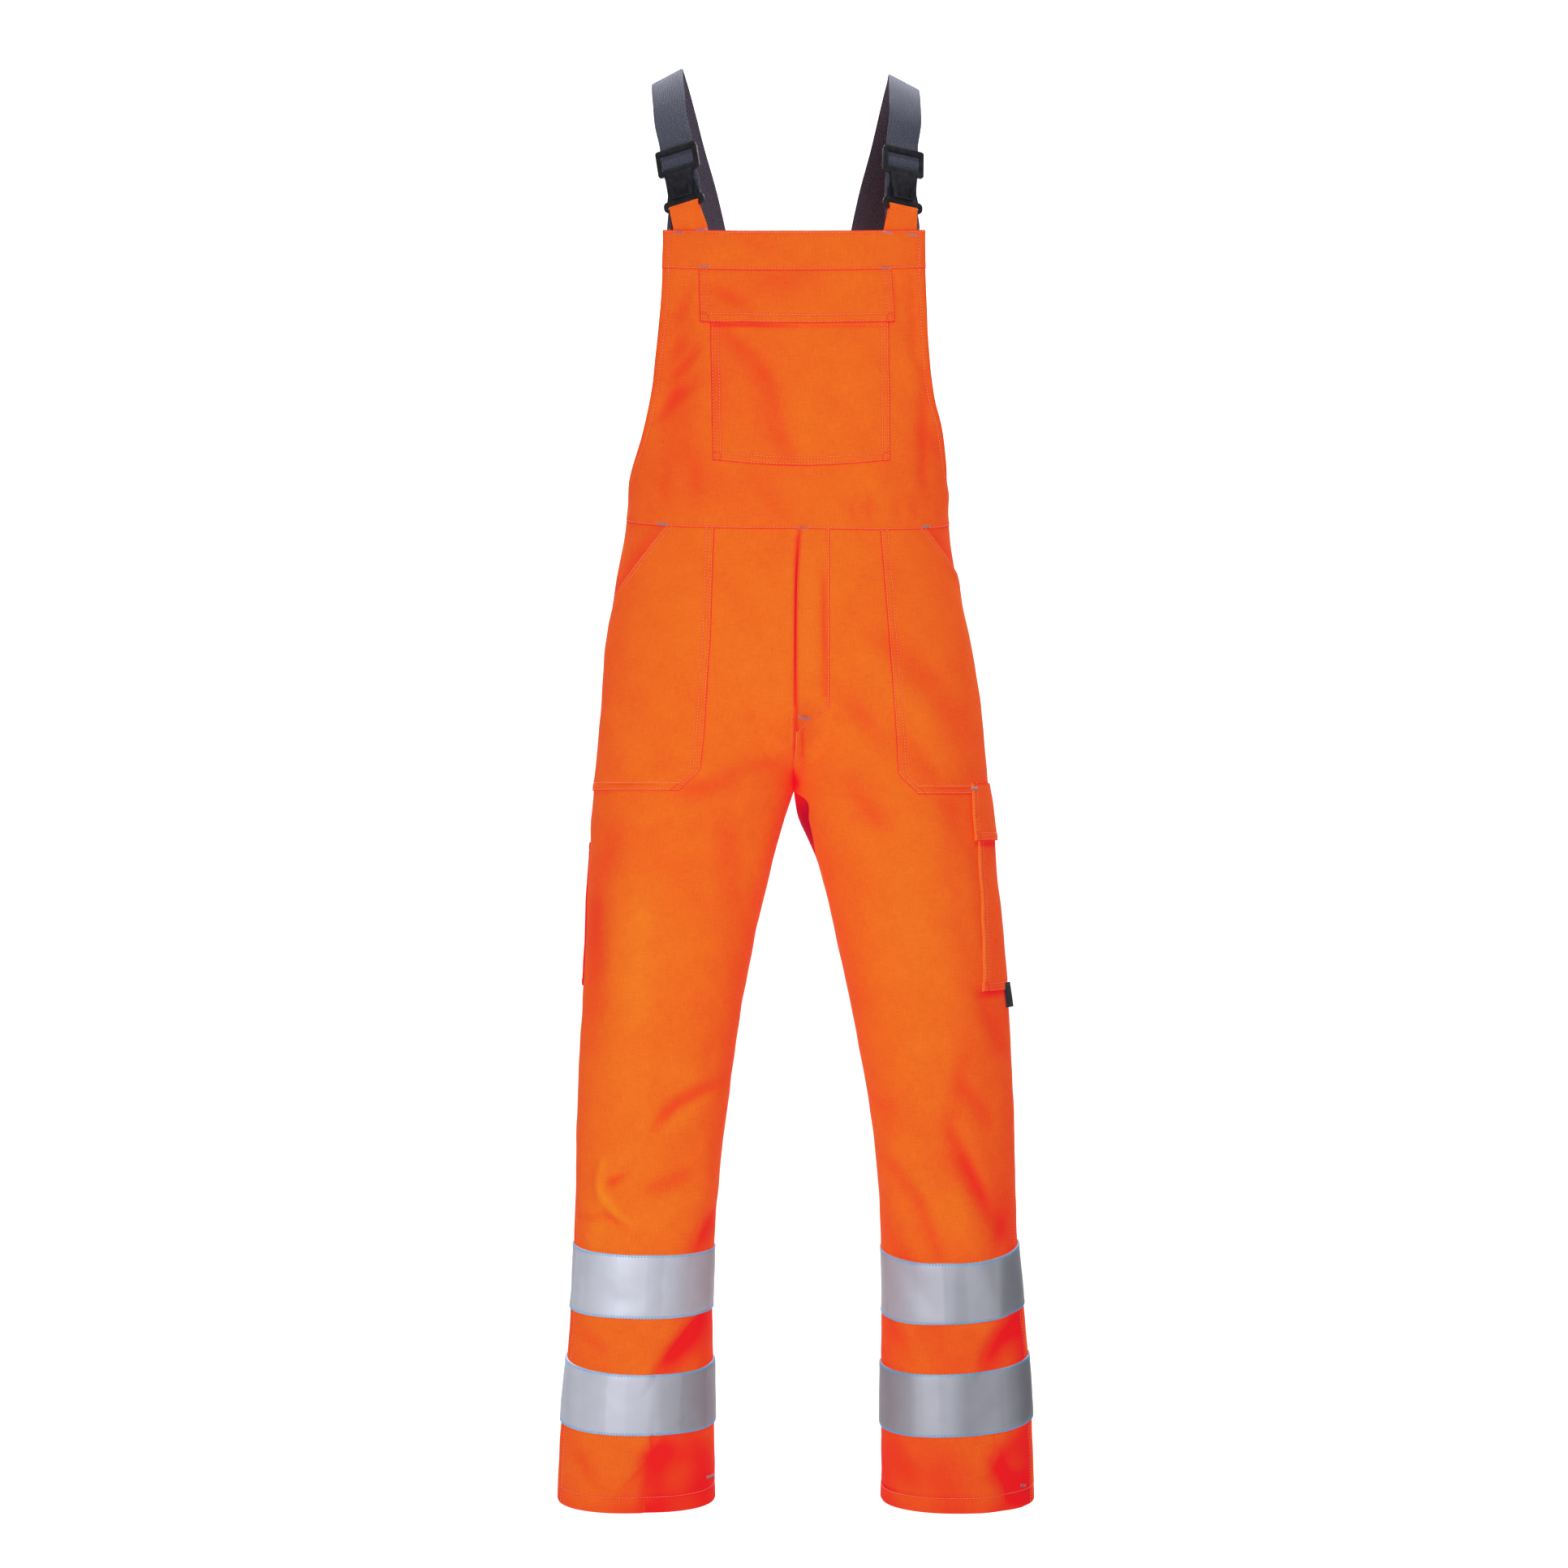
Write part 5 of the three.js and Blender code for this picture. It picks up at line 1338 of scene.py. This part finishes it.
rule_pocket = patch(
    "rule_pocket",
    on_leg("right", rule_seam, rule_inner),
    between(RULE_POCKET["top"], RULE_POCKET["bottom"], DOUBLE, DOUBLE),
    lambda down, across: (SEAM_GAP, ON_PANEL + 0.4),
    start=SINGLE,
    low=DOUBLE,
)
print("patches:", len(PIECES))


# %% [markdown]
# ## The reflective tapes
#
# The tape is stiffer than the twill, so it doesn't follow it in soft folds: it breaks into flat facets
# with upright edges between them. Each tape is a ring round the leg with facets of its own. It throws
# light back to where it came from, so that a facet a little turned away is much darker. That is
# painted into its colour: each facet has a painted tone of its own, the front is painted lighter and
# darker from place to place, and the back is painted in shade.

# %% Tapes
TAPE_EDGE, TAPE_STITCHES, TAPE_PITCH = (2.2,), (0.7, 2.2), 3.6
TAPE_WALL = 0.3, 0.75
# How many facets a ring has, how far they stand out, how unlike their widths are, how much painted
# light and shade each facet gets at random, and the share of a tape's width by which its sewn edges
# hold them flat.
FACETS, FACET_DEPTH, FACET_WIDTHS, FACET_PAINTED_LIGHT, HELD_IN = 16, 2.4, (0.03, 0.09), 0.07, 0.09
# Painted shade on the tape where it faces the back.
PAINTED_SHADE_BEHIND = -0.1
# Painted light and shade on each tape's front.
TAPE_PAINTED_LIGHT = {  # how much lighter or darker the tape is at some places of its front: x, share
    "upper_right": ((-232, 0.2), (-196, 0.2), (-150, 0.05), (-120, -0.05), (-84, -0.2)),
    "lower_right": ((-232, 0.2), (-180, 0.05), (-154, 0.05), (-138, -0.25), (-84, -0.35)),
    "upper_left": ((104, -0.2), (178, -0.1), (184, -0.2), (228, -0.1), (235, -0.4), (260, -0.4)),
    "lower_left": (
        (104, -0.5),
        (134, -0.35),
        (142, -0.15),
        (176, -0.1),
        (194, -0.35),
        (228, -0.15),
        (262, -0.5),
    ),
}


def tape_at(side):
    """The function that gives points of a ring round a leg."""
    return lambda level, share: trousers(side, 2 * share, level)


facets = np.random.default_rng(21)
tapes = {}
for side in SIDES:
    for place, (top, bottom) in TAPES.items():
        rows = between(top, bottom, TAPE_EDGE, TAPE_EDGE)
        grid = laid_out(tape_at(side), rows, pitch=TAPE_PITCH, gap=0)
        girth = grid["from_start"][:, -1:]
        for key in ("points", "normals", "from_start", "from_end"):
            grid[key] = grid[key][:, :-1]
        grid["lines"].update(low=TAPE_EDGE, high=TAPE_EDGE)
        share = grid["from_start"] / girth
        edges = np.concatenate([[0], np.cumsum(facets.uniform(*FACET_WIDTHS, FACETS))])
        edges = edges / edges[-1]
        upper, lower = facets.uniform(0, FACET_DEPTH, (2, len(edges)))
        upper[-1], lower[-1] = upper[0], lower[0]
        down = shares_of(grid)[0]
        moved = mix(np.interp(share, edges, upper), np.interp(share, edges, lower), down)
        held = 1 - np.exp(-(np.minimum(down, 1 - down) / HELD_IN))
        grid["points"] = grid["points"] + grid["normals"] * (moved * held)[..., None]
        # Painted light and shade: the front's table, painted shade behind, and a painted tone for each
        # facet.
        tone = np.interp(grid["points"][..., 0], *zip(*TAPE_PAINTED_LIGHT[f"{place}_{side}"]))
        tone = np.where(grid["normals"][..., 1] < 0.3, tone, PAINTED_SHADE_BEHIND)
        turned = facets.uniform(-FACET_PAINTED_LIGHT, FACET_PAINTED_LIGHT, len(edges))
        grid["moved"] = tone + turned[np.searchsorted(edges, np.clip(share, 0, 1)) - 1]
        name = f"tape_{place}_{side}"
        tapes[name] = cloth(name, grid, *TAPE_WALL, TAPE, ring=True)
print("tapes:", list(tapes))


# %% [markdown]
# ## Buckles, webbing and tabs
#
# A side-release buckle joins each shoulder strap to the bib. Webbing runs over the shoulder, comes
# up through the buckle's frame behind the top bar, over the middle bar and behind the lower one,
# and hangs down behind the clip. The clip's loop end carries a cloth tab that is sewn to the band.

# %% Smooth routes through stations
BUCKLES = {
    "right": {"at": (-121.5, -92, -107.5), "yaw": -22, "pitch": -12, "roll": -14},
    "left": {"at": (125.5, -89, -109), "yaw": 26, "pitch": -14, "roll": 8},
}


def buckle_frame(side):
    place = BUCKLES[side]
    placed = Matrix.Translation(place["at"])
    for turn, axis in (("yaw", "Z"), ("pitch", "X"), ("roll", "Y")):
        placed = placed @ Matrix.Rotation(math.radians(place[turn]), 4, axis)
    return placed


def route(stations, steps):
    """A centripetal Catmull-Rom curve through the stations, at evenly numbered steps."""
    stations = np.array(stations, float)
    padded = np.concatenate(
        [[2 * stations[0] - stations[1]], stations, [2 * stations[-1] - stations[-2]]]
    )
    places = []
    for t in np.linspace(0, len(stations) - 1, (len(stations) - 1) * steps + 1):
        i = min(int(t), len(stations) - 2)
        w = t - i
        a, b, c, d = padded[i : i + 4]
        gaps = [max(np.linalg.norm(q - p) ** 0.5, 1e-4) for p, q in ((a, b), (b, c), (c, d))]
        u, v = (
            ((b - a) / gaps[0] - (c - a) / (gaps[0] + gaps[1]) + (c - b) / gaps[1]) * gaps[1],
            ((c - b) / gaps[1] - (d - b) / (gaps[1] + gaps[2]) + (d - c) / gaps[2]) * gaps[1],
        )
        places.append(
            b + u * w + (-3 * b + 3 * c - 2 * u - v) * w**2 + (2 * b - 2 * c + u + v) * w**3
        )
    return np.array(places)


def unit(vectors):
    return vectors / np.linalg.norm(vectors, axis=-1, keepdims=True)


# %% The webbing
WEBBING_WIDTH = 38
# The profile across a strap: places from edge to edge, and how thick it is there.
WEBBING_PLACES = np.array([-1, -0.96, -0.85, -0.6, -0.3, 0, 0.3, 0.6, 0.85, 0.96, 1])
WEBBING_FULL = np.array([0.55, 0.8, 1, 1, 1, 1, 1, 1, 1, 0.8, 0.55])
# The middle of each strap from the back over the shoulder, how far the edge towards the neck is
# raised and turned forwards, in degrees, and how much lower the left strap lies.
STRAP = table(
    "step right left y z raised turned left_drop",
    (0, -85, 85, 101, -180, 15, -12, 0),
    (1, -99, 98, 92, -120, 16, -10, 1),
    (2, -113, 111, 80, -72, 19, -8, 2),
    (3, -122, 119, 65, -38, 22, -5, 3),
    (4, -128, 124, 46, -17, 25, -2, 4),
    (5, -132, 127, 25, -5, 28, 0, 5),
    (6, -134, 127.5, 3, -1, 28, 0, 6),
    (7, -134, 127.5, -19, -6, 27, 3, 6),
    (8, -133, 127.5, -40, -19, 25, 8, 4),
    (9, -131, 127.5, -57, -38, 21, 13, 2),
    (10, -129, 127.5, -69, -60, 18, 17, 0),
)
# Depth behind the buckle's face and height from its middle, in the buckle's own frame.
THROUGH = [(4.8, 24), (4.5, 14.5), (4.5, 8.8), (2.3, 4), (1.7, 0), (2.3, -4), (4.5, -8.8)]
THROUGH += [(5.4, -14), (6.6, -20), (7.4, -34), (7.8, -48)]
# Across, up, and how far inside the panel.
SEWN_ENDS = {
    "right": [(-68, -268, 3.2), (-73, -236, 3.2)],
    "left": [(68, -268, 3.2), (73, -236, 3.2)],
}
FREE_ENDS = {
    "right": [(-117, -180, 8.5), (-116, -222, 7.5)],
    "left": [(128, -180, 8.5), (128, -222, 7.5)],
}


def behind(x, z, inside, face="front"):
    """A point a little inside the trunk's front or back, and the outward normal there."""
    x, z = np.asarray(x, float), np.asarray(z, float)
    turn = torso_turn(x, z, face)
    point, normal = torso(turn, z)
    normal = normal * np.sign((normal[..., :2] * point[..., :2]).sum(-1, keepdims=True))
    return point - normal * np.asarray(inside)[..., None], normal


def strap(side):
    hand = -SIDES[side]  # towards the neck
    frame = buckle_frame(side)
    middles, widths = [], []

    def sewn(ends, face):
        for x, z, inside in ends:
            point, normal = behind(x, z, inside, face)
            middles.append(point)
            flat = np.array([abs(normal[1]), -np.sign(normal[1]) * normal[0], 0])
            widths.append(hand * flat / np.linalg.norm(flat))

    sewn(SEWN_ENDS[side], "back")
    for i in range(len(STRAP["step"])):
        row = {key: column[i] for key, column in STRAP.items()}
        raised, turned = math.radians(row["raised"]), math.radians(row["turned"])
        middles.append((row[side], row["y"], row["z"] - row["left_drop"] * (side == "left")))
        flat = (hand * math.cos(turned), -math.sin(turned))
        widths.append((flat[0] * math.cos(raised), flat[1], math.sin(raised)))
    for depth, up in THROUGH:
        middles.append(frame @ Vector((0, depth, up)))
        widths.append(frame.to_3x3() @ Vector((hand, 0, 0)))
    sewn(FREE_ENDS[side], "front")
    middle, wide = route(middles, 8), route([tuple(w) for w in widths], 8)
    along = unit(np.gradient(middle, axis=0))
    wide = unit(wide - along * (wide * along).sum(1, keepdims=True))
    normal = unit(np.cross(along, wide)) * hand
    places = WEBBING_PLACES * WEBBING_WIDTH / 2
    points = middle[:, None] + wide[:, None] * places[None, :, None]
    return plain_grid(points, np.repeat(normal[:, None], len(places), 1))


half = WEBBING_FULL * WEBBING / 2
for side in SIDES:
    cloth(f"strap_{side}", strap(side), -half, half, WEBBING_MATERIAL)


# %% The cloth tabs
LOOP = {"slot_bottom": -53.1, "bottom": -57.4, "front": 0.8, "back": 4.2}
TABS = {
    "right": {"inner": -87.5, "outer": -125.2, "top_width": 33.5},
    "left": {"inner": 103.8, "outer": 139.8, "top_width": 33},
}
TAB_HIDDEN = -200  # a tab's ends reach down to here, behind the band
ACROSS, STEPS = 15, 6  # points across a tab, and between two of its stations


def tab(side):
    size, frame = TABS[side], buckle_frame(side)
    shares = np.linspace(0, 1, ACROSS)
    middle = (LOOP["front"] + LOOP["back"]) / 2, (LOOP["slot_bottom"] + LOOP["bottom"]) / 2
    clear = SEAM_GAP + TAB / 2
    reach = (LOOP["back"] - LOOP["front"]) / 2 + clear, LOOP["slot_bottom"] - middle[1] + clear
    low, high = sorted((size["inner"], size["outer"]))

    def behind_band(inside, z):
        return behind(mix(low, high, shares), np.full(ACROSS, z), inside)[0]

    def on_bar(depth, up):
        y, z = middle[0] + reach[0] * depth, middle[1] + reach[1] * up
        return np.array([tuple(frame @ Vector((t * size["top_width"], y, z))) for t in shares - 0.5])

    front_inside = CLOTH + 2 * SEAM_GAP + TAB / 2
    back_inside = front_inside + SEAM_GAP + TAB
    round_bar = [(1, -1), (1, 0), (0.93, 0.93), (0, 1), (-0.93, 0.93), (-1, 0), (-1, -1)]
    stations = [
        behind_band(back_inside, TAB_HIDDEN),
        behind_band(back_inside, BIB_TOP + 2),
        *[on_bar(*place) for place in round_bar],
        behind_band(front_inside, BIB_TOP + 2),
        behind_band(front_inside, TAB_HIDDEN),
    ]
    points = np.stack([route([row[c] for row in stations], STEPS) for c in range(ACROSS)], 1)
    normals = unit(np.cross(np.gradient(points, axis=1), np.gradient(points, axis=0)))
    # One soft crease runs down the middle of the part that shows.
    down = np.clip((np.arange(len(points)) / STEPS - 8) / 1.2, 0, 1)[:, None]
    crease = -0.9 * down * np.exp(-(((shares - 0.5) / 0.09) ** 2))
    return plain_grid(points + normals * crease[..., None], normals)


for side in SIDES:
    cloth(f"strap_tab_{side}", tab(side), -TAB / 2, TAB / 2, TWILL)
print("soft pieces:", len(PIECES))


# %% The buckles and the loops
MOULD_EDGE, MOULD_SHARP = 0.55, 35  # how wide an edge is softened, from how sharp a turn on


def moulded(node_name):
    """A copy of a moulded solid with its edges softened, as they leave the mould."""
    mesh = frame["nodes"][node_name].data.copy()
    body = bmesh.new()
    body.from_mesh(mesh)
    bmesh.ops.remove_doubles(body, verts=body.verts, dist=2e-6)
    flat = math.radians(1)
    bmesh.ops.dissolve_limit(body, angle_limit=flat, verts=body.verts, edges=body.edges)
    turned = [edge for edge in body.edges if len(edge.link_faces) == 2]
    sharp = [edge for edge in turned if edge.calc_face_angle() > math.radians(MOULD_SHARP)]
    bmesh.ops.bevel(
        body,
        geom=sharp,
        offset=MOULD_EDGE * MM,
        offset_type="OFFSET",
        segments=2,
        profile=0.6,
        affect="EDGES",
        clamp_overlap=True,
    )
    bmesh.ops.triangulate(body, faces=body.faces)
    body.to_mesh(mesh)
    body.free()
    mesh.materials.clear()
    mesh.materials.append(PLASTIC)
    mesh.shade_smooth()
    mesh.set_sharp_from_angle(angle=math.radians(40))
    return added(node_name + "_moulded", mesh)


for side in SIDES:
    for name in (f"buckle_{side}", f"loop_{side}"):
        PIECES[name + "_moulded"] = (moulded(name), (name,))
print("buckles:", [len(PIECES[f"buckle_{side}_moulded"][0].data.polygons) for side in SIDES])


# %% [markdown]
# ## Stitches and bartacks
#
# A lockstitch shows as short rounded bars in a row, 3 to a centimetre. The rows are drawn as thin
# lines along the grids, and one Geometry Nodes tree lays a bar at every step of every line. A
# bartack is a tight zigzag that holds a corner which is pulled at; it is a line too, swept by a
# thread.

# %% Rows of stitches
for side in SIDES:
    front, hip = legs["front", side], hip_pockets[side]
    sew(front, "high", *HEM_LINE)
    sew(legs["back", side], "high", *HEM_LINE)
    sew(front, "end", LINE, part=(0.42, 1))
    for line in DOUBLE:
        sew(hip, "start", line)
        sew(hip, "end", line, part=(0, hip["sewn_part"]))
        sew(hip, "high", line)
sew(legs["front", "left"], "start", LINE, part=(0.76 * (CROTCH - WAIST) / (HEM - WAIST), 0.27))
both = ("low", "high")
for grid, edges in (
    (fly, ("end",)),
    (bib, ("low",)),
    (band, both),
    (back, ("low",)),
    (back_band, both),
):
    for edge in edges:
        sew(grid, edge, LINE)
for grid in (bib, band, back, back_band):
    for edge in ("start", "end"):
        sew(grid, edge, *SIDE_HEM)
for line in DOUBLE:
    for edge in ("start", "end", "high"):
        for grid in (pocket, flap, thigh_pocket, thigh_flap, rule_pocket):
            if edge != "start" or grid is not rule_pocket:
                sew(grid, edge, line)
for line in DOUBLE:
    sew(rule_pocket, "low", line)
for grid in tapes.values():
    for edge in both:
        for line in TAPE_STITCHES:
            sew(grid, edge, line, "blue")


# %% Geometry Nodes: a bar at every step of a line, or a thread swept along it
def lines_tree(name, sizes, shape):
    """A tree that turns every line of an object into a shape, in the thread's material."""
    inputs = [("Geometry", "Geometry", None)]
    inputs += [(label, "Float", value) for label, value in sizes.items()]
    inputs += [("Thread", "Material", None)]
    outputs = [("Geometry", "Geometry")]
    tree, (lines, *given, thread), made = new_group(name, "GeometryNodeTree", inputs, outputs)
    shaped = shape(tree, node(tree, "GeometryNodeMeshToCurve", {0: lines}), *given)
    rounded = node(tree, "GeometryNodeSetShadeSmooth", {0: shaped})
    inputs = {0: rounded, "Material": thread}
    fill(tree, made, {0: node(tree, "GeometryNodeSetMaterial", inputs)})
    return tree


def bars(tree, line, step, length, thickness):
    steps = node(
        tree, "GeometryNodeCurveToPoints", {"Curve": line, "Length": step}, mode="LENGTH"
    )
    turned = node(
        tree, "FunctionNodeAlignRotationToVector", {"Vector": steps.of("Tangent")}, axis="Z"
    )
    bar = node(tree, "GeometryNodeMeshUVSphere", {"Segments": 6, "Rings": 4, "Radius": 0.5})
    size = node(tree, "ShaderNodeCombineXYZ", {0: thickness, 1: thickness, 2: length})
    inputs = {"Points": steps, "Instance": bar, "Rotation": turned, "Scale": size}
    placed = node(tree, "GeometryNodeInstanceOnPoints", inputs)
    return node(tree, "GeometryNodeRealizeInstances", {0: placed})


def swept_thread(tree, line, thickness):
    ring = node(
        tree, "GeometryNodeCurvePrimitiveCircle", {"Resolution": 5, "Radius": thickness * 0.5}
    )
    inputs = {"Curve": line, "Profile Curve": ring, "Fill Caps": True}
    return node(tree, "GeometryNodeCurveToMesh", inputs)


def lines_object(name, paths):
    """An object whose edges run along the paths."""
    edges, count = [], 0
    for path in paths:
        edges += [(i, i + 1) for i in range(count, count + len(path) - 1)]
        count += len(path)
    mesh = bpy.data.meshes.new(name)
    mesh.from_pydata((np.concatenate(paths) * MM).tolist(), edges, [])
    return added(name, mesh)


def grown(piece, tree, **settings):
    """Runs a Geometry Nodes tree on an object and keeps the mesh that it makes."""
    modifier = piece.modifiers.new(tree.name, "NODES")
    modifier.node_group = tree
    inputs = [item for item in tree.interface.items_tree if item.in_out == "INPUT"]
    sockets = {item.name: item.identifier for item in inputs}
    for label, value in settings.items():
        modifier[sockets[label]] = value
    depsgraph = bpy.context.evaluated_depsgraph_get()
    mesh = bpy.data.meshes.new_from_object(piece.evaluated_get(depsgraph), depsgraph=depsgraph)
    piece.modifiers.remove(modifier)
    piece.data = mesh
    return piece


STITCHES = lines_tree("stitches", {"Step": 0.0034, "Length": 0.0026, "Thickness": 0.00065}, bars)
THICKNESS = {"peach": 0.00065, "blue": 0.00095}
for colour, paths in STITCHED.items():
    rows = lines_object(f"stitches_{colour}", paths)
    grown(rows, STITCHES, Thread=THREADS[colour], Thickness=THICKNESS[colour])
    PIECES[rows.name] = (rows, ())
    print(rows.name, len(rows.data.polygons))


# %% Bartacks
def on_cloth(part, x, z, out):
    """Points just off the torso or one leg, at places of the front view."""
    if part == "torso":
        point, normal = torso(torso_turn(x, z), z)
    else:
        level = level_of(part, x, z)
        point, normal = trousers(part, leg_turn(part, x, level), level)
    return point + normal * out


TACK_WIDTH, TACK_STEP = 2.8, 0.5


def zigzag(part, start, end, out):
    """A tight zigzag between two places of the front view."""
    start, end = np.array(start, float), np.array(end, float)
    along = unit(end - start)
    aside = np.array([-along[1], along[0]]) * TACK_WIDTH / 2
    turns = np.arange(int(np.linalg.norm(end - start) / TACK_STEP) + 1)[:, None]
    places = mix(start, end, turns / turns[-1]) + aside * (-1.0) ** turns
    return on_cloth(part, places[:, 0], places[:, 1], out)


BARTACKS = [  # the part, the two ends, and how far out it lies
    ("torso", (-123, -189.4), (-114, -188.9), 1.2),  # tabs, on the top band
    ("torso", (-99.5, -187.6), (-88, -187.2), 1.2),
    ("torso", (101, -189.6), (111.5, -190), 1.2),
    ("torso", (128, -190.5), (138.5, -191), 1.2),
    ("torso", (-96, -226.6), (-85, -226.8), 1.2),  # corners of the chest flap
    ("torso", (99, -228.4), (109.5, -228.2), 1.2),
    ("torso", (-141.5, -502.4), (-130.5, -503.6), 1.6),  # waist seam
    ("torso", (10, -509.4), (21, -509.2), 1.9),
    ("torso", (144.5, -505.6), (152.5, -504.6), 1.6),
    ("left", (9.5, -712.6), (21.5, -714.4), 2.3),  # foot of the fly
    ("left", (195, -790), (202, -790.6), 5.0),  # corner of the thigh flap
    ("right", (-91, -1547.8), (-83.5, -1548.6), 0.9),  # hems
    ("left", (254, -1555), (259.5, -1556), 0.9),
]
TACK_TREE = lines_tree("swept_thread", {"Thickness": 0.0008}, swept_thread)
tacks = lines_object("bartacks", [zigzag(*tack) for tack in BARTACKS])
PIECES["bartacks"] = (grown(tacks, TACK_TREE, Thread=THREADS["grey"]), ())
print("bartacks:", len(tacks.data.polygons))


# %% [markdown]
# ## The studio
#
# A pale sweep runs under and behind the garment, with a large light on it that turns it white. The
# garment has two soft lights in front of it: one near the camera's line for the bib and the hips,
# and a lower one on the wearer's right for the legs. White surroundings fill the turned edges.

# %% Sweep, lights and tones
FLOOR, WALL, RADIUS = -2.6, 3.4, 1.6  # heights and depths of the sweep, in metres
NEAR, TALL, HALF_WIDTH = -6.5, 5.0, 2.4
BEND = 12  # steps round the curve between the floor and the wall


def sweep():
    """A floor that curves up into a wall, far behind."""
    turns = [math.pi / 2 * i / BEND for i in range(1, BEND + 1)]
    profile = [(NEAR, FLOOR), (WALL - RADIUS, FLOOR)]
    profile += [
        (WALL - RADIUS + RADIUS * math.sin(t), FLOOR + RADIUS - RADIUS * math.cos(t)) for t in turns
    ]
    profile.append((WALL, TALL))
    vertices = [(x, y, z) for y, z in profile for x in (-HALF_WIDTH, HALF_WIDTH)]
    faces = [(2 * i, 2 * i + 1, 2 * i + 3, 2 * i + 2) for i in range(len(profile) - 1)]
    mesh = bpy.data.meshes.new("sweep")
    mesh.from_pydata(vertices, [], faces)
    mesh.shade_smooth()
    return added("sweep", mesh)


def paper(tree):
    fibres = noise(in_object(tree), 60.0, 3, 0.6)
    return {
        "Base Color": tinted((0.93, 0.93, 0.93), fibres * 0.02 + 0.98),
        "Roughness": 0.9,
        "Specular IOR Level": 0.1,
    }


backdrop = sweep()
backdrop.data.materials.append(material("paper", paper))


def area_light(name, place, aim, size, power):
    data = bpy.data.lights.new(name, "AREA")
    data.shape, data.size, data.energy = "DISK", size, power
    light = added(name, data)
    light.location = place
    light.rotation_euler = (Vector(aim) - Vector(place)).to_track_quat("-Z", "Y").to_euler()


area_light("key", (0.25, -1.45, -0.05), (0, 0, -0.75), 0.5, 8.6)
area_light("front", (-0.5, -1.2, -1.12), (-0.05, 0, -1.05), 0.7, 6.6)
area_light("backdrop", (0, 1.2, 1.9), (0, 2.9, -1.3), 3.0, 236)
world = bpy.data.worlds.new("studio")
bpy.context.scene.world = world
world.use_nodes = True
surroundings = world.node_tree.nodes["Background"]
surroundings.inputs["Color"].default_value = (1, 1, 1, 1)
surroundings.inputs["Strength"].default_value = 0.12
bpy.context.scene.view_settings.view_transform = "Standard"
bpy.context.scene.view_settings.look = "None"


# %% [markdown]
# ## What each piece is
#
# Every piece of cloth has a row with the size that it was cut to: its greatest width and length, its
# flat area where the cut isn't a rectangle, and which pieces carry it. Each piece is tied to the
# frame's root and the CAD nodes that it stands for are hidden, and how a sheet's cloth is held is
# looked up from its name.

# %% Cut sizes, and the pieces tied to the frame
SHEETS = {  # width and length in metres, area if the cut isn't a rectangle, and what carries it
    "front_leg_right": (0.376, 1.162, 0.290, "bib_front"),
    "front_leg_left": (0.368, 1.24, 0.279, "bib_front"),
    "back_leg_right": (0.377, 1.192, 0.325, "back_panel"),
    "back_leg_left": (0.423, 1.27, 0.325, "back_panel"),
    "bib_front": (0.487, 0.313, 0.0985, "bib_band"),
    "bib_band": (0.295, 0.041, None, "strap_tab_right strap_tab_left"),
    "back_panel": (0.458, 0.271, 0.068, "back_band"),
    "back_band": (0.218, 0.029, None, "strap_right strap_left"),
    "bib_pocket": (0.197, 0.204, None, "bib_front"),
    "bib_pocket_flap": (0.21, 0.057, None, "bib_pocket"),
    "hip_pocket_right": (0.194, 0.338, 0.045, "front_leg_right"),
    "hip_pocket_left": (0.175, 0.34, 0.0425, "front_leg_left"),
    "fly": (0.037, 0.237, None, "front_leg_left"),
    "thigh_pocket": (0.153, 0.213, None, "front_leg_left"),
    "thigh_flap": (0.167, 0.064, None, "thigh_pocket"),
    "label_tab": (0.0155, 0.0275, None, "thigh_pocket"),
    "rule_pocket": (0.155, 0.16, None, "back_leg_right"),
    "tape_upper_right": (0.508, 0.071, None, "front_leg_right"),
    "tape_lower_right": (0.512, 0.071, None, "front_leg_right"),
    "tape_upper_left": (0.502, 0.071, None, "front_leg_left"),
    "tape_lower_left": (0.509, 0.071, None, "front_leg_left"),
    "strap_right": (0.038, 0.606, None, "buckle_right_moulded back_panel"),
    "strap_left": (0.038, 0.595, None, "buckle_left_moulded back_panel"),
    "strap_tab_right": (0.04, 0.1025, None, "loop_right_moulded"),
    "strap_tab_left": (0.039, 0.092, None, "loop_left_moulded"),
}
HELD = {"tape": "stretched", "strap_tab": "folded", "strap": "draped"}


def by_name(name, choices, otherwise):
    """The first choice whose name the piece's name starts with."""
    return next((choice for start, choice in choices.items() if name.startswith(start)), otherwise)


for name, (piece, nodes) in PIECES.items():
    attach(piece, "root")
    if nodes:
        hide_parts(*nodes)
for name, (width, length, area, carriers) in SHEETS.items():
    held = by_name(name, HELD, "hung")
